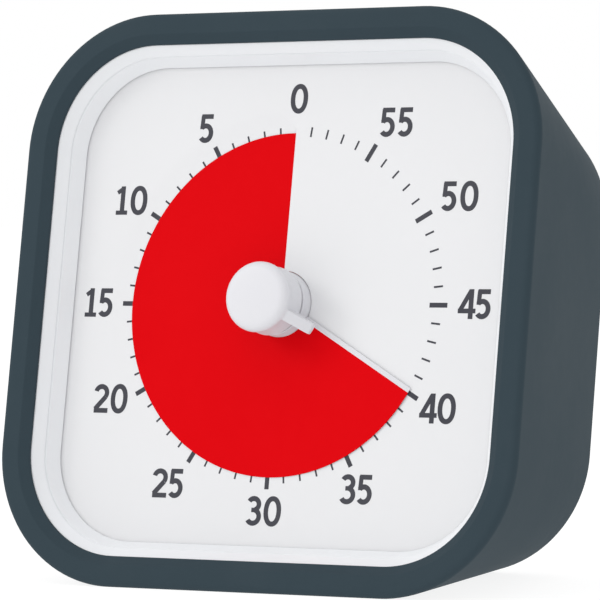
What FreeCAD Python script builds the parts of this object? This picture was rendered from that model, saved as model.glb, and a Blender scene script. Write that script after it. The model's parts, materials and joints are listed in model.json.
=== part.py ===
import FreeCAD, Part
import math
import os

from FreeCAD import Placement, Rotation, Vector

# A desk visual timer: a soft square cover over a two-piece housing, a numbered dial, and a red disk
# that a knob winds out through a slit in the dial. All sizes are in millimetres.
#
# The pieces are modelled in the case's own frame: X to the right, Y from the dial's front surface
# towards the back, Z up the dial, with the origin at the dial's centre. stand() leans the whole
# assembly back onto its base and puts the origin at the middle of its footprint.
# Heights "in front of the dial" are -Y. Clock angles run anticlockwise from twelve o'clock.

# ---- Overall sizes -------------------------------------------------------------------------------
FRONT_HALF = 45.8  # half the width of the cover at its front face
FRONT_CORNER = 22.0
REAR_HALF = 37.3  # half the width of the cover at its back
REAR_CORNER = 19.0
RIM_PROUD = 6.3  # front face of the cover, in front of the dial
FOOT_TRIM = 0.05  # taken off the cover's underside, so that it stands on a true flat

# ---- Cover and housing ---------------------------------------------------------------------------
COVER_WALL = 1.8
COVER_FRONT_LIP = 1.7
COVER_REAR_LIP = 1.8
COVER_REAR_REACH = 5.0  # how far the rear lip reaches over the housing's back
COVER_EDGE_ROUND = 1.0
RIM_FACE = 3.6  # from the cover's outside to the top of its inner bevel
BEVEL_WIDTH = 1.5
BEVEL_DEPTH = 1.1
LEDGE = 0.3  # housing showing inside the cover's opening
UPPER_WALL_RUN = 1.2  # first, steeper part of the housing's sloping wall
LOWER_WALL_RUN = 1.3  # second part, down to the dial
CREASE_HEIGHT = 2.8  # height of the crease between the two parts
OPENING_CORNER_INSET = 23.8  # from the centre line to the centre of each opening corner
HOUSING_WALL = 2.0
SPLIT_Y = 22.0  # joint between the housing's halves
SPLIT_LIP = 1.5
SPLIT_LIP_WALL = 1.1
FIT = 0.1  # clearance of parts that slip together
EPS = 0.5  # how far cutting shapes run past a face
CATCH_HALF = 5.0
CATCH_SIZE = 1.6
CATCH_GRIP = 1.0
BOSS_LENGTH = 14.0
BOSS_CROWN = 1.0  # solid end of each boss
THREAD_BITE = 0.1  # how much smaller a screw's hole is than the screw

# ---- Dial ----------------------------------------------------------------------------------------
DIAL_THICK = 0.2
DIAL_TUCK = 0.8  # how far the dial runs in under the housing
DISK_RADIUS = 27.16
FILM_THICK = 0.1
FILM_GAP = 0.05  # film to dial, on either face
SLIT_STEP = DIAL_THICK + FILM_THICK + 2 * FILM_GAP  # drop of the dial's left half at the slit
DISK_PITCH = 2 * SLIT_STEP  # the film is one turn of a screw with this pitch
DISK_SHOWN = 240.0  # degrees of red in front of the dial: forty minutes
FILM_ARC = 366.0
RAMP_END = 180.0  # clock angle where the left half is level with the right again
SLIT_END_GAP = 0.44
SLIT_RIM = 0.6
FACET = 7.5  # degrees per facet on the screw surfaces
STRIP_WIDTH = 0.8
STRIP_THICK = 0.15

# ---- Knob, shaft and hub -------------------------------------------------------------------------
KNOB_FRONT = 8.7
KNOB_RADIUS = 5.5
KNOB_WAIST = 5.2
KNOB_EDGE = 0.9
KNOB_SKIN = 1.4
POINTER_REACH = 9.0
POINTER_WIDTH = 1.8
POINTER_TIP = 1.3
HUB_RADIUS = 5.2
HUB_HOLE_GAP = 0.3
HUB_FRONT = 2.55
HUB_REAR = -0.7
SHAFT_RADIUS = 2.0
SHAFT_FLAT = 1.5  # from the shaft's axis to its flat
RUNNING = 0.06  # radial clearance of turning fits
DISK_GAP = 0.08  # smallest gap between the hub and its neighbours along the axis

# ---- Chassis and movement ------------------------------------------------------------------------
CHASSIS_Y = 3.2
CHASSIS_THICK = 1.5
MOVE_LEFT_LEAST = -17.0
MOVE_RIGHT_LEAST = 19.0
MOVE_TOP_LEAST = 16.5
MOVE_WALL = 1.0
MOVE_MARGIN = 0.8  # wheels to the movement's walls
MOVE_SPLIT_Y = 11.5
MOVE_REAR_Y = 16.8
MOVE_HEAD_RADIUS = 1.2
MOVE_HEAD_SINK = 0.9
MOVE_SCREW_RADIUS = 0.6
MOVE_POST_RADIUS = 1.7
MOVE_POST_INSET = 2.5
BUSHING_RADIUS = 3.4
NUT_FLATS = 9.0
NUT_THICK = 1.2
PIVOT_RADIUS = 0.35
PIVOT_DEPTH = 0.5
MODULE = 0.2
OUTPUT_MODULE = 1.25 * MODULE
PINION_TEETH = 8
FIRST_TEETH = 40
SECOND_TEETH = 48
THIRD_TEETH = 60
OUTPUT_TEETH = 64
ADDENDUM = 0.8  # times the module
DEDENDUM = 1.05
TOOTH_SHARE = 0.36  # tooth thickness over the circular pitch
MAGNET_RADIUS = 2.0
AIR_GAP = 0.4
WHEEL_THICK = 0.6
OUTPUT_THICK = 0.8
PINION_LENGTH = 1.1
STEP = 1.2  # depth from one wheel's layer to the next
COLLAR_PROUD = 1.3
CAM_THICK = 1.0
CAM_RADIUS = 3.0
CAM_LOBE = 4.0
CAM_LOBE_HALF = 0.8
STATOR_THICK = 1.2
CORE_THICK = 1.0
CORE_HALF = 1.0
COIL_REACH = 6.5  # rotor to the coil's axis
COIL_SIDE = 2.6
COIL_DEEP = 1.9
COIL_FLANGE = 0.5
SLEEVE_SIDE = 1.4
SLEEVE_DEEP = 0.8
COIL_FOOT_Z = -3.2
BLOCK_X = -10.8
BLOCK_HALF = 1.8
BLOCK_FOOT_Z = -7.2
BLOCK_LEAD_Z = -3.0
LEAF_WIDTH = 2.6
LEAF_THICK = 0.2
LEAF_DROP = 1.3  # from one leaf to the next
TRAIN = [  # each arbor, the mesh that reaches it, and its direction from the one before
    ("third", OUTPUT_MODULE, OUTPUT_TEETH, 150.0),
    ("second", MODULE, THIRD_TEETH, 40.0),
    ("first", MODULE, SECOND_TEETH, 0.0),
    ("rotor", MODULE, FIRST_TEETH, 20.0),
]

# ---- Battery, board and sounder ------------------------------------------------------------------
BATTERY_RADIUS = 7.25
BATTERY_LENGTH = 49.5
BATTERY_NUB = 1.0
BATTERY_SLACK = 0.2
BAY_SLACK = 2.25  # room for the contact at each end
BAY_WALL = 1.5
BAY_GAP = 0.2  # movement to bay
BAY_TOP_Z = -4.0
DOOR_THICK = 1.55
DOOR_GAP = 0.2
BOARD_THICK = 1.5
BOARD_LIFT = 3.0
BUZZER_X = -13.0
BUZZER_Z = 12.0
BUZZER_RADIUS = 11.0
SWITCH_X = 17.0
SWITCH_Z = 12.0
SWITCH_TRAVEL = 3.0
LEAD_RADIUS = 0.45
SCREW_RADIUS = 1.2
SCREW_HEAD_RADIUS = 2.2
BOSS_RADIUS = 2.8
BOSS_INSET = 6.2  # from the housing's inner wall to each boss's centre
GRILLE_RADIUS = 0.8
GRILLE_PITCH = 3.2
POST_RADIUS = 2.0
SHEET_THICK = 0.4
SPRING_RADIUS = 4.6
SPRING_TAPER = 0.35

# ---- Places worked out from the sizes above ------------------------------------------------------
REAR_DEPTH = (  # back of the cover, behind the dial: the battery lies behind the movement
    MOVE_REAR_Y + BAY_GAP + BAY_WALL + 2 * (BATTERY_RADIUS + BATTERY_SLACK) + HOUSING_WALL + COVER_REAR_LIP
)
LEAN = math.degrees(math.atan((FRONT_HALF - REAR_HALF) / (RIM_PROUD + REAR_DEPTH)))
OPENING_HALF = FRONT_HALF - RIM_FACE - BEVEL_WIDTH
CREASE_HALF = OPENING_HALF - LEDGE - UPPER_WALL_RUN
DIAL_HALF = CREASE_HALF - LOWER_WALL_RUN
HOUSING_FRONT_Y = -RIM_PROUD + COVER_FRONT_LIP
HOUSING_REAR_Y = REAR_DEPTH - COVER_REAR_LIP
REAR_INNER_Y = HOUSING_REAR_Y - HOUSING_WALL
MOVE_FRONT_Y = CHASSIS_Y + CHASSIS_THICK
MOVE_INNER_Y = MOVE_FRONT_Y + MOVE_WALL
MOVE_LID_Y = MOVE_REAR_Y - MOVE_WALL
RAMP_RADIUS = DISK_RADIUS + SLIT_END_GAP
HOLE_RADIUS = HUB_RADIUS + HUB_HOLE_GAP
KNOB_REAR = HUB_FRONT + DISK_PITCH / 3 + DISK_GAP
BAY_HALF = BATTERY_LENGTH / 2 + BATTERY_NUB / 2 + BAY_SLACK
BAY_HALF_HEIGHT = BATTERY_RADIUS + 1.0
BAY_Z = BAY_TOP_Z - BAY_WALL - BAY_HALF_HEIGHT
BATTERY_Y = REAR_INNER_Y - BATTERY_RADIUS - BATTERY_SLACK
BAY_FRONT_Y = BATTERY_Y - BATTERY_RADIUS - BATTERY_SLACK - BAY_WALL
BOARD_REAR_Y = REAR_INNER_Y - BOARD_LIFT
BOARD_FRONT_Y = BOARD_REAR_Y - BOARD_THICK
COLLAR_REAR_Y = MOVE_INNER_Y + 0.6
OUTPUT_Y = COLLAR_REAR_Y + 0.3
CLIP_Y = OUTPUT_Y + 0.85
THIRD_Y = OUTPUT_Y + 1.4
SECOND_Y = THIRD_Y + STEP
FIRST_Y = SECOND_Y + STEP
CAM_Y = FIRST_Y - 0.2
BLOCK_Y = CAM_Y - 0.8
STATOR_Y = FIRST_Y + 1.6
CORE_Y = STATOR_Y + STATOR_THICK


def half_at(y):
    """Half-width of the cover's outside at a depth."""
    share = (y + RIM_PROUD) / (RIM_PROUD + REAR_DEPTH)
    return FRONT_HALF + share * (REAR_HALF - FRONT_HALF)


def corner_at(y):
    """Corner radius of the cover's outside at a depth."""
    share = (y + RIM_PROUD) / (RIM_PROUD + REAR_DEPTH)
    return FRONT_CORNER + share * (REAR_CORNER - FRONT_CORNER)


def boss_offset():
    """How far out the bosses stand: near the rear wall's corner, yet clear of the lip at the split."""
    at_rear = half_at(REAR_INNER_Y) - COVER_WALL - HOUSING_WALL - BOSS_INSET
    lip_inset = COVER_WALL + HOUSING_WALL + FIT + SPLIT_LIP_WALL
    reach = corner_at(SPLIT_Y) - lip_inset - BOSS_RADIUS - FIT
    at_lip = half_at(SPLIT_Y) - corner_at(SPLIT_Y) + reach * math.sqrt(0.5)
    return min(at_rear, at_lip)


def arbor_places():
    """Centres of the third, second and first wheels and the rotor, each in mesh with the last."""
    x, z = 0.0, 0.0
    places = {}
    for name, module, teeth, direction in TRAIN:
        reach = module * (teeth + PINION_TEETH) / 2
        x += reach * math.cos(math.radians(direction))
        z += reach * math.sin(math.radians(direction))
        places[name] = (x, z, direction)
    return places


def tip_radius(module, teeth):
    """Radius over a wheel's teeth."""
    return module * (teeth / 2 + ADDENDUM)


BOSS_OFFSET = boss_offset()
ARBORS = arbor_places()
COIL_X = ARBORS["rotor"][0] + COIL_REACH
COIL_TOP_Z = ARBORS["rotor"][1] - 2.6
COIL_LOW_Z = COIL_FOOT_Z + 3.0
MOVE_BOTTOM = -tip_radius(OUTPUT_MODULE, OUTPUT_TEETH) - MOVE_MARGIN - MOVE_WALL
MOVE_TOP = max(
    MOVE_TOP_LEAST, ARBORS["second"][1] + tip_radius(MODULE, SECOND_TEETH) + MOVE_MARGIN + MOVE_WALL
)
MOVE_LEFT = min(
    MOVE_LEFT_LEAST, ARBORS["third"][0] - tip_radius(MODULE, THIRD_TEETH) - MOVE_MARGIN - MOVE_WALL
)
MOVE_RIGHT = max(MOVE_RIGHT_LEAST, COIL_X + COIL_SIDE + MOVE_MARGIN + MOVE_WALL)


# ---- Shape helpers -------------------------------------------------------------------------------
def box(x0, x1, y0, y1, z0, z1):
    """A block between pairs of limits."""
    return Part.makeBox(x1 - x0, y1 - y0, z1 - z0, Vector(x0, y0, z0))


def rod(x, z, radius, y0, y1):
    """A round bar along the depth."""
    return Part.makeCylinder(radius, y1 - y0, Vector(x, y0, z), Vector(0, 1, 0))


def tube(x, z, outer, inner, y0, y1):
    """A ring along the depth."""
    return rod(x, z, outer, y0, y1).cut(rod(x, z, inner, y0 - EPS, y1 + EPS))


def joined(shapes):
    """All the shapes as one solid."""
    return shapes[0].multiFuse(shapes[1:]).removeSplitter()


def on_circle(radius, clock, y=0.0):
    """A point at a clock angle, in degrees anticlockwise from twelve as seen from the front."""
    angle = math.radians(clock)
    return Vector(-radius * math.sin(angle), y, radius * math.cos(angle))


def rounded_wire(half, corner, y):
    """A square outline with round corners, at one depth."""
    edges = []
    straight = half - corner
    mid = straight + corner * math.sqrt(0.5)
    for quarter in range(4):
        turn = Rotation(Vector(0, 1, 0), 90 * quarter)
        corners = [(half, -straight), (half, straight), (mid, mid), (straight, half)]
        p = [turn.multVec(Vector(u, y, v)) for u, v in corners]
        p = [Vector(q.x, y, q.z) for q in p]
        edges.append(Part.LineSegment(p[0], p[1]).toShape())
        edges.append(Part.Arc(p[1], p[2], p[3]).toShape())
    return Part.Wire(Part.__sortEdges__(edges))


def rounded_block(y0, half0, corner0, y1, half1, corner1):
    """A solid between two rounded square outlines."""
    wires = [rounded_wire(half0, corner0, y0), rounded_wire(half1, corner1, y1)]
    return Part.makeLoft(wires, True, True)


def tapered_block(y0, y1, inset):
    """A slice of the case's outer form, drawn in by an inset."""
    ends = [(half_at(y) - inset, corner_at(y) - inset) for y in (y0, y1)]
    return rounded_block(y0, *ends[0], y1, *ends[1])


def opening_block(y0, half0, y1, half1):
    """A slice of the front opening."""
    return rounded_block(y0, half0, half0 - OPENING_CORNER_INSET, y1, half1, half1 - OPENING_CORNER_INSET)


def front_edges(shape, y):
    """The edges that lie at one depth."""
    return [e for e in shape.Edges if all(abs(v.Point.y - y) < 1e-6 for v in e.Vertexes)]


def screw_band(sections, start, end):
    """A solid carried round the axis: sections(angle) gives (radius, height) corners."""
    steps = round((end - start) / FACET)
    wires = []
    for n in range(steps + 1):
        clock = start + (end - start) * n / steps
        points = [on_circle(r, clock, -h) for r, h in sections(clock)]
        wires.append(Part.makePolygon(points + points[:1]))
    return Part.makeLoft(wires, True, True)


def film_height(clock):
    """Height of the film's rear face in front of the dial."""
    return FILM_GAP - SLIT_STEP + DISK_PITCH * clock / 360


def ramp_height(clock):
    """Height of the dial's own surface, which is lowest at the slit and level from the ramp's end."""
    return min(0.0, SLIT_STEP * (clock / RAMP_END - 1))


def corners_of(x, z):
    """The four mirrored places of a fastener."""
    return [(sx * x, sz * z) for sx in (-1, 1) for sz in (-1, 1)]


def lead(points, radius):
    """A wire along straight runs joined by arcs."""
    p = [Vector(*q) for q in points]
    edges = []
    start = p[0]
    for a, b, c in zip(p, p[1:], p[2:]):
        back = (a - b).normalize()
        ahead = (c - b).normalize()
        reach = 0.45 * min((a - b).Length, (c - b).Length)
        half_turn = (math.pi - back.getAngle(ahead)) / 2
        bend = reach / math.tan(half_turn)
        middle = (back + ahead).normalize()
        centre = b + middle * (bend / math.cos(half_turn))
        enter = b + back * reach
        leave = b + ahead * reach
        edges.append(Part.LineSegment(start, enter).toShape())
        edges.append(Part.Arc(enter, centre - middle * bend, leave).toShape())
        start = leave
    edges.append(Part.LineSegment(start, p[-1]).toShape())
    path = Part.Wire(edges)
    ring = Part.Wire(Part.makeCircle(radius, p[0], p[1] - p[0]))
    return path.makePipeShell([ring], True, True)


# ---- Cover and housing ---------------------------------------------------------------------------
def silicone_cover():
    """The soft square sleeve: bevelled front rim, tapering walls and a lip round the back."""
    block = tapered_block(-RIM_PROUD, REAR_DEPTH, 0)
    rims = front_edges(block, -RIM_PROUD) + front_edges(block, REAR_DEPTH)
    block = block.makeFillet(COVER_EDGE_ROUND, rims)
    hollow = tapered_block(HOUSING_FRONT_Y, HOUSING_REAR_Y, COVER_WALL)
    bevel_top = -RIM_PROUD - EPS
    slope = BEVEL_WIDTH / BEVEL_DEPTH
    bevel_foot = -RIM_PROUD + BEVEL_DEPTH
    bevel_half = OPENING_HALF + (bevel_foot - bevel_top) * slope
    bevel = opening_block(bevel_top, bevel_half, bevel_foot, OPENING_HALF)
    mouth = opening_block(bevel_foot - 0.01, OPENING_HALF, HOUSING_FRONT_Y + EPS, OPENING_HALF)
    back_half = half_at(REAR_DEPTH) - COVER_WALL - COVER_REAR_REACH
    back_corner = REAR_CORNER - COVER_WALL - COVER_REAR_REACH
    back = rounded_block(
        HOUSING_REAR_Y - EPS, back_half, back_corner, REAR_DEPTH + EPS, back_half, back_corner
    )
    return block.cut([hollow, bevel, mouth, back, foot_cutter()])


def foot_cutter():
    """A block whose level face, once the case leans, takes the last of the cover's underside off."""
    reach = 2 * FRONT_HALF
    block = box(-reach, reach, -reach, reach, -reach, FOOT_TRIM)
    block.rotate(Vector(0, 0, 0), Vector(1, 0, 0), LEAN)
    block.translate(Vector(0, -RIM_PROUD, -FRONT_HALF))
    return block


def boss_web(x, z, y0, y1):
    """A rib from a boss out to the housing's corner."""
    web = box(0, BOSS_INSET * 2, y0, y1, -BOSS_RADIUS / 3, BOSS_RADIUS / 3)
    turn = math.degrees(math.atan2(z, x))
    web.Placement = Placement(Vector(x, 0, z), Rotation(Vector(0, 1, 0), -turn))
    return web


def front_housing():
    """The white shell: sloping walls down to the dial, screw bosses and catches for the chassis."""
    inset = COVER_WALL + HOUSING_WALL
    outside = tapered_block(HOUSING_FRONT_Y, SPLIT_Y, COVER_WALL)
    upper_run = UPPER_WALL_RUN * (1 + EPS / (-HOUSING_FRONT_Y - CREASE_HEIGHT))
    cuts = [
        opening_block(HOUSING_FRONT_Y - EPS, CREASE_HALF + upper_run, -CREASE_HEIGHT, CREASE_HALF),
        opening_block(-CREASE_HEIGHT, CREASE_HALF, 0, DIAL_HALF),
        opening_block(0, DIAL_HALF + DIAL_TUCK + FIT, CHASSIS_Y, DIAL_HALF + DIAL_TUCK + FIT),
        tapered_block(CHASSIS_Y, SPLIT_Y + EPS, inset),
    ]
    shell = outside.cut(cuts)
    adds = []
    catch_y = CHASSIS_Y + CHASSIS_THICK
    reach = half_at(catch_y) - inset
    for quarter in range(4):
        catch = box(reach - CATCH_GRIP, reach + CATCH_GRIP, catch_y, catch_y + CATCH_SIZE,
                    -CATCH_HALF, CATCH_HALF)
        catch.rotate(Vector(0, 0, 0), Vector(0, 1, 0), 90 * quarter)
        adds.append(catch)
    boss_y = SPLIT_Y - BOSS_LENGTH
    for x, z in corners_of(BOSS_OFFSET, BOSS_OFFSET):
        adds.append(rod(x, z, BOSS_RADIUS, boss_y, SPLIT_Y))
        adds.append(boss_web(x, z, boss_y, SPLIT_Y - SPLIT_LIP - FIT))
    inside = tapered_block(CHASSIS_Y, SPLIT_Y, COVER_WALL + HOUSING_WALL / 2)
    shell = joined([shell] + [a.common(inside) for a in adds])
    bores = [rod(x, z, SCREW_RADIUS - THREAD_BITE, boss_y + BOSS_CROWN, SPLIT_Y + EPS)
             for x, z in corners_of(BOSS_OFFSET, BOSS_OFFSET)]
    return shell.cut(bores)


def rear_housing():
    """The back shell, with the battery bay, sounder seat, board posts and screw posts."""
    inset = COVER_WALL + HOUSING_WALL
    outside = tapered_block(SPLIT_Y, HOUSING_REAR_Y, COVER_WALL)
    shell = outside.cut(tapered_block(SPLIT_Y - EPS, REAR_INNER_Y, inset))
    lip_in = tapered_block(SPLIT_Y - SPLIT_LIP - EPS, SPLIT_Y + 3, inset + FIT + SPLIT_LIP_WALL)
    lip = tapered_block(SPLIT_Y - SPLIT_LIP, SPLIT_Y, inset + FIT).cut(lip_in)
    root = tapered_block(SPLIT_Y, SPLIT_Y + 2, inset - FIT).cut(lip_in)
    bay = box(-BAY_HALF - BAY_WALL, BAY_HALF + BAY_WALL, BAY_FRONT_Y, REAR_INNER_Y + 0.2,
              BAY_Z - BAY_HALF_HEIGHT - BAY_WALL, BAY_Z + BAY_HALF_HEIGHT + BAY_WALL)
    adds = [lip, root, bay, tube(BUZZER_X, BUZZER_Z, BUZZER_RADIUS + 1.2, BUZZER_RADIUS + FIT,
                                 BOARD_REAR_Y, REAR_INNER_Y + 0.2)]
    for x, z in board_screw_places():
        adds.append(rod(x, z, POST_RADIUS, BOARD_REAR_Y, REAR_INNER_Y + 0.2))
    for x, z in corners_of(BOSS_OFFSET, BOSS_OFFSET):
        adds.append(rod(x, z, BOSS_RADIUS, SPLIT_Y, REAR_INNER_Y + 0.2))
    shell = joined([shell] + adds)
    cuts = [
        box(-BAY_HALF, BAY_HALF, BAY_FRONT_Y + BAY_WALL, HOUSING_REAR_Y + EPS,
            BAY_Z - BAY_HALF_HEIGHT, BAY_Z + BAY_HALF_HEIGHT),
        door_block(DOOR_GAP, HOUSING_REAR_Y + EPS),
        box(SWITCH_X - 4.2, SWITCH_X + 4.2, REAR_INNER_Y - EPS, HOUSING_REAR_Y + EPS,
            SWITCH_Z - 1.4, SWITCH_Z + 1.4),
    ]
    for side in (-1, 1):
        slot_x = side * (BAY_HALF - 0.25)
        cuts.append(box(slot_x - 0.5, slot_x + 0.5, BATTERY_Y - 2.4, BATTERY_Y + 2.4,
                        BAY_Z + BAY_HALF_HEIGHT - EPS, BAY_Z + BAY_HALF_HEIGHT + BAY_WALL + EPS))
    for x, z in sounder_holes():
        cuts.append(rod(x, z, GRILLE_RADIUS, REAR_INNER_Y - EPS, HOUSING_REAR_Y + EPS))
    for x, z in board_screw_places():
        cuts.append(rod(x, z, 0.7, BOARD_REAR_Y - EPS, REAR_INNER_Y))
    for x, z in corners_of(BOSS_OFFSET, BOSS_OFFSET):
        cuts.append(rod(x, z, SCREW_RADIUS + 0.1, SPLIT_Y - EPS, HOUSING_REAR_Y))
        cuts.append(rod(x, z, SCREW_HEAD_RADIUS + 0.2, REAR_INNER_Y + 0.2, HOUSING_REAR_Y + EPS))
    return shell.cut(cuts)


def sounder_holes():
    """Places of the grille's holes: one, a ring of six and a ring of twelve."""
    places = [(BUZZER_X, BUZZER_Z)]
    for ring, count in ((1, 6), (2, 12)):
        for n in range(count):
            spot = on_circle(GRILLE_PITCH * ring, 360 * n / count)
            places.append((BUZZER_X + spot.x, BUZZER_Z + spot.z))
    return places


def board_screw_places():
    """Places of the board's two screws."""
    return [(SWITCH_X - 13.0, SWITCH_Z + 10.0), (SWITCH_X + 5.0, SWITCH_Z - 9.5)]


def door_block(gap, rear_y):
    """The battery door's outline: its own size with no gap, its seat with one."""
    rim = BAY_WALL - 0.1 - DOOR_GAP + gap
    front = HOUSING_REAR_Y - DOOR_THICK - gap / 4
    return box(-BAY_HALF - rim, BAY_HALF + rim, front, rear_y,
               BAY_Z - BAY_HALF_HEIGHT - rim, BAY_Z + BAY_HALF_HEIGHT + rim)


def battery_door():
    """A flush plate with a row of grip ribs."""
    plate = door_block(0.0, HOUSING_REAR_Y)
    upright = [e for e in plate.Edges if abs(e.Vertexes[0].Y - e.Vertexes[1].Y) > 1]
    plate = plate.makeFillet(0.8, upright)
    grooves = []
    for n in range(5):
        x = BAY_HALF - 3.0 - 1.5 * n
        grooves.append(box(x, x + 0.7, HOUSING_REAR_Y - 0.4, HOUSING_REAR_Y + EPS, BAY_Z - 5, BAY_Z + 5))
    return plate.cut(grooves)


# ---- Dial and disk -------------------------------------------------------------------------------
def dial_plate():
    """The numbered plate: its left half sinks towards the slit at twelve o'clock, under the right half's lip."""
    half = DIAL_HALF + DIAL_TUCK
    outer = RAMP_RADIUS + SLIT_RIM
    depth = SLIT_STEP + DIAL_THICK
    left_side = box(-half, 0, -1, 1, -half, half)
    plate = opening_block(0, half, DIAL_THICK, half)
    left = rod(0, 0, RAMP_RADIUS + SLIT_RIM / 2, -EPS, DIAL_THICK + EPS).common(left_side)
    plate = plate.cut([left, rod(0, 0, HOLE_RADIUS, -EPS, DIAL_THICK + EPS)])
    rim = tube(0, 0, outer, RAMP_RADIUS, 0, depth).common(left_side)

    def section(clock):
        top = ramp_height(clock)
        under = top - DIAL_THICK
        return [(HOLE_RADIUS, top), (outer - 0.1, top), (outer - 0.1, under), (HOLE_RADIUS, under)]

    return joined([plate, rim, screw_band(section, 0.0, RAMP_END)])


def red_disk():
    """One turn of red film, wound as a shallow screw so that it threads the slit."""
    inner = HUB_RADIUS / math.cos(math.radians(FACET))

    def section(clock):
        low = film_height(clock)
        return [(inner, low), (DISK_RADIUS, low), (DISK_RADIUS, low + FILM_THICK), (inner, low + FILM_THICK)]

    return screw_band(section, DISK_SHOWN - FILM_ARC, DISK_SHOWN)


def disk_edge_strip():
    """The white stiffener along the film's leading edge."""
    low = film_height(DISK_SHOWN)
    strip = box(-STRIP_WIDTH, 0, -low - STRIP_THICK, -low, HUB_RADIUS, DISK_RADIUS)
    return turned(strip, DISK_SHOWN)


def turned(shape, clock):
    """The shape turned from twelve o'clock to a clock angle."""
    shape.rotate(Vector(0, 0, 0), Vector(0, 1, 0), -clock)
    return shape


def keyed_rod(radius, flat, y0, y1):
    """A round bar with a flat on its top."""
    return rod(0, 0, radius, y0, y1).common(box(-radius, radius, y0, y1, -radius, flat))


def disk_hub():
    """The sleeve that carries the film along the shaft."""
    sleeve = rod(0, 0, HUB_RADIUS, -HUB_FRONT, -HUB_REAR)
    return sleeve.cut(keyed_rod(SHAFT_RADIUS + RUNNING, SHAFT_FLAT + RUNNING, -HUB_FRONT - 1, -HUB_REAR + 1))


def knob():
    """A waisted round knob with a fin that points along the disk's leading edge."""
    waist_y = -(KNOB_FRONT + KNOB_REAR) / 2
    profile = Part.BSplineCurve()
    profile.interpolate([Vector(KNOB_RADIUS - 0.15, -KNOB_REAR, 0), Vector(KNOB_WAIST, waist_y, 0),
                         Vector(KNOB_RADIUS, -KNOB_FRONT, 0)])
    rear = Vector(0, -KNOB_REAR, 0)
    front = Vector(0, -KNOB_FRONT, 0)
    edges = [
        Part.LineSegment(rear, Vector(KNOB_RADIUS - 0.15, -KNOB_REAR, 0)).toShape(),
        profile.toShape(),
        Part.LineSegment(Vector(KNOB_RADIUS, -KNOB_FRONT, 0), front).toShape(),
        Part.LineSegment(front, rear).toShape(),
    ]
    body = Part.Face(Part.Wire(edges)).revolve(Vector(0, 0, 0), Vector(0, 1, 0), 360)
    body = body.makeFillet(KNOB_EDGE, front_edges(body, -KNOB_FRONT))
    fin = Part.makePolygon([
        Vector(-POINTER_WIDTH / 2, -y, z)
        for y, z in ((KNOB_REAR, 3.0), (KNOB_FRONT - 1.0, 3.0), (KNOB_FRONT - 1.0, KNOB_RADIUS - 1.0),
                     (KNOB_REAR + POINTER_TIP, POINTER_REACH), (KNOB_REAR, POINTER_REACH), (KNOB_REAR, 3.0))
    ])
    fin = Part.Face(fin).extrude(Vector(POINTER_WIDTH, 0, 0))
    fin = turned(fin.makeFillet(0.35, [e for e in fin.Edges if e.BoundBox.ZMin > KNOB_RADIUS]), DISK_SHOWN)
    socket = keyed_rod(SHAFT_RADIUS, SHAFT_FLAT, -KNOB_FRONT + KNOB_SKIN, -KNOB_REAR + EPS)
    return joined([body, fin]).cut(socket)


def drive_shaft():
    """The stepped shaft from the knob to the back of the movement, with the clutch's collar."""
    keyed = keyed_rod(SHAFT_RADIUS, SHAFT_FLAT, -KNOB_FRONT + KNOB_SKIN, CHASSIS_Y - NUT_THICK)
    return joined([
        keyed,
        rod(0, 0, SHAFT_RADIUS, CHASSIS_Y - NUT_THICK, CAM_Y + CAM_THICK),
        rod(0, 0, SHAFT_RADIUS + COLLAR_PROUD, MOVE_INNER_Y + FIT, COLLAR_REAR_Y),
        rod(0, 0, SHAFT_RADIUS * 0.6, CAM_Y + CAM_THICK, MOVE_LID_Y + PIVOT_DEPTH - FIT),
    ])


# ---- Movement ------------------------------------------------------------------------------------
def gear(x, z, teeth, module, facing, tooth, y0, y1):
    """A toothed disc; a tooth (or a gap) faces the direction given, in degrees from +X to +Z."""
    pitch = module * teeth / 2
    root = pitch - DEDENDUM * module
    tip = pitch + ADDENDUM * module
    step = 2 * math.pi / teeth
    share = TOOTH_SHARE * step
    offset = 0.0 if tooth else step / 2
    points = []
    for n in range(teeth):
        centre = math.radians(facing) + offset + n * step
        for radius, width in ((root, 1.45), (tip, 0.5)):
            points.append((radius, centre - share * width / 2))
        for radius, width in ((tip, 0.5), (root, 1.45)):
            points.append((radius, centre + share * width / 2))
    outline = [Vector(x + r * math.cos(a), y0, z + r * math.sin(a)) for r, a in points]
    face = Part.Face(Part.makePolygon(outline + outline[:1]))
    return face.extrude(Vector(0, y1 - y0, 0))


def arbor_pin(x, z):
    """A wheel's staff, from the case's front wall to its lid."""
    return rod(x, z, PIVOT_RADIUS, MOVE_INNER_Y - PIVOT_DEPTH + FIT, MOVE_LID_Y + PIVOT_DEPTH - FIT)


def train_wheel(name, driven_by, teeth, wheel_y, pinion_module, next_direction):
    """A wheel with its pinion and staff. The wheel meets the pinion before it in the train."""
    x, z, direction = ARBORS[name]
    towards_driver = ARBORS[driven_by][2]
    wheel = gear(x, z, teeth, MODULE, towards_driver, False, wheel_y, wheel_y + WHEEL_THICK)
    front = wheel_y - STEP - 0.1
    pinion = gear(x, z, PINION_TEETH, pinion_module, next_direction, True, front, front + PINION_LENGTH)
    root = PINION_TEETH * MODULE / 2 - DEDENDUM * MODULE
    collar = rod(x, z, root, front + PINION_LENGTH - 0.1, wheel_y + 0.1)
    return joined([wheel, collar, pinion, arbor_pin(x, z)])


def third_wheel():
    """Sixty teeth; its coarse pinion drives the output wheel."""
    return train_wheel("third", "second", THIRD_TEETH, THIRD_Y, OUTPUT_MODULE, ARBORS["third"][2] + 180)


def second_wheel():
    """Forty-eight teeth; its pinion drives the third wheel."""
    return train_wheel("second", "first", SECOND_TEETH, SECOND_Y, MODULE, ARBORS["second"][2] + 180)


def first_wheel():
    """Forty teeth; driven by the rotor, its pinion drives the second wheel."""
    return train_wheel("first", "rotor", FIRST_TEETH, FIRST_Y, MODULE, ARBORS["first"][2] + 180)


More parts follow.
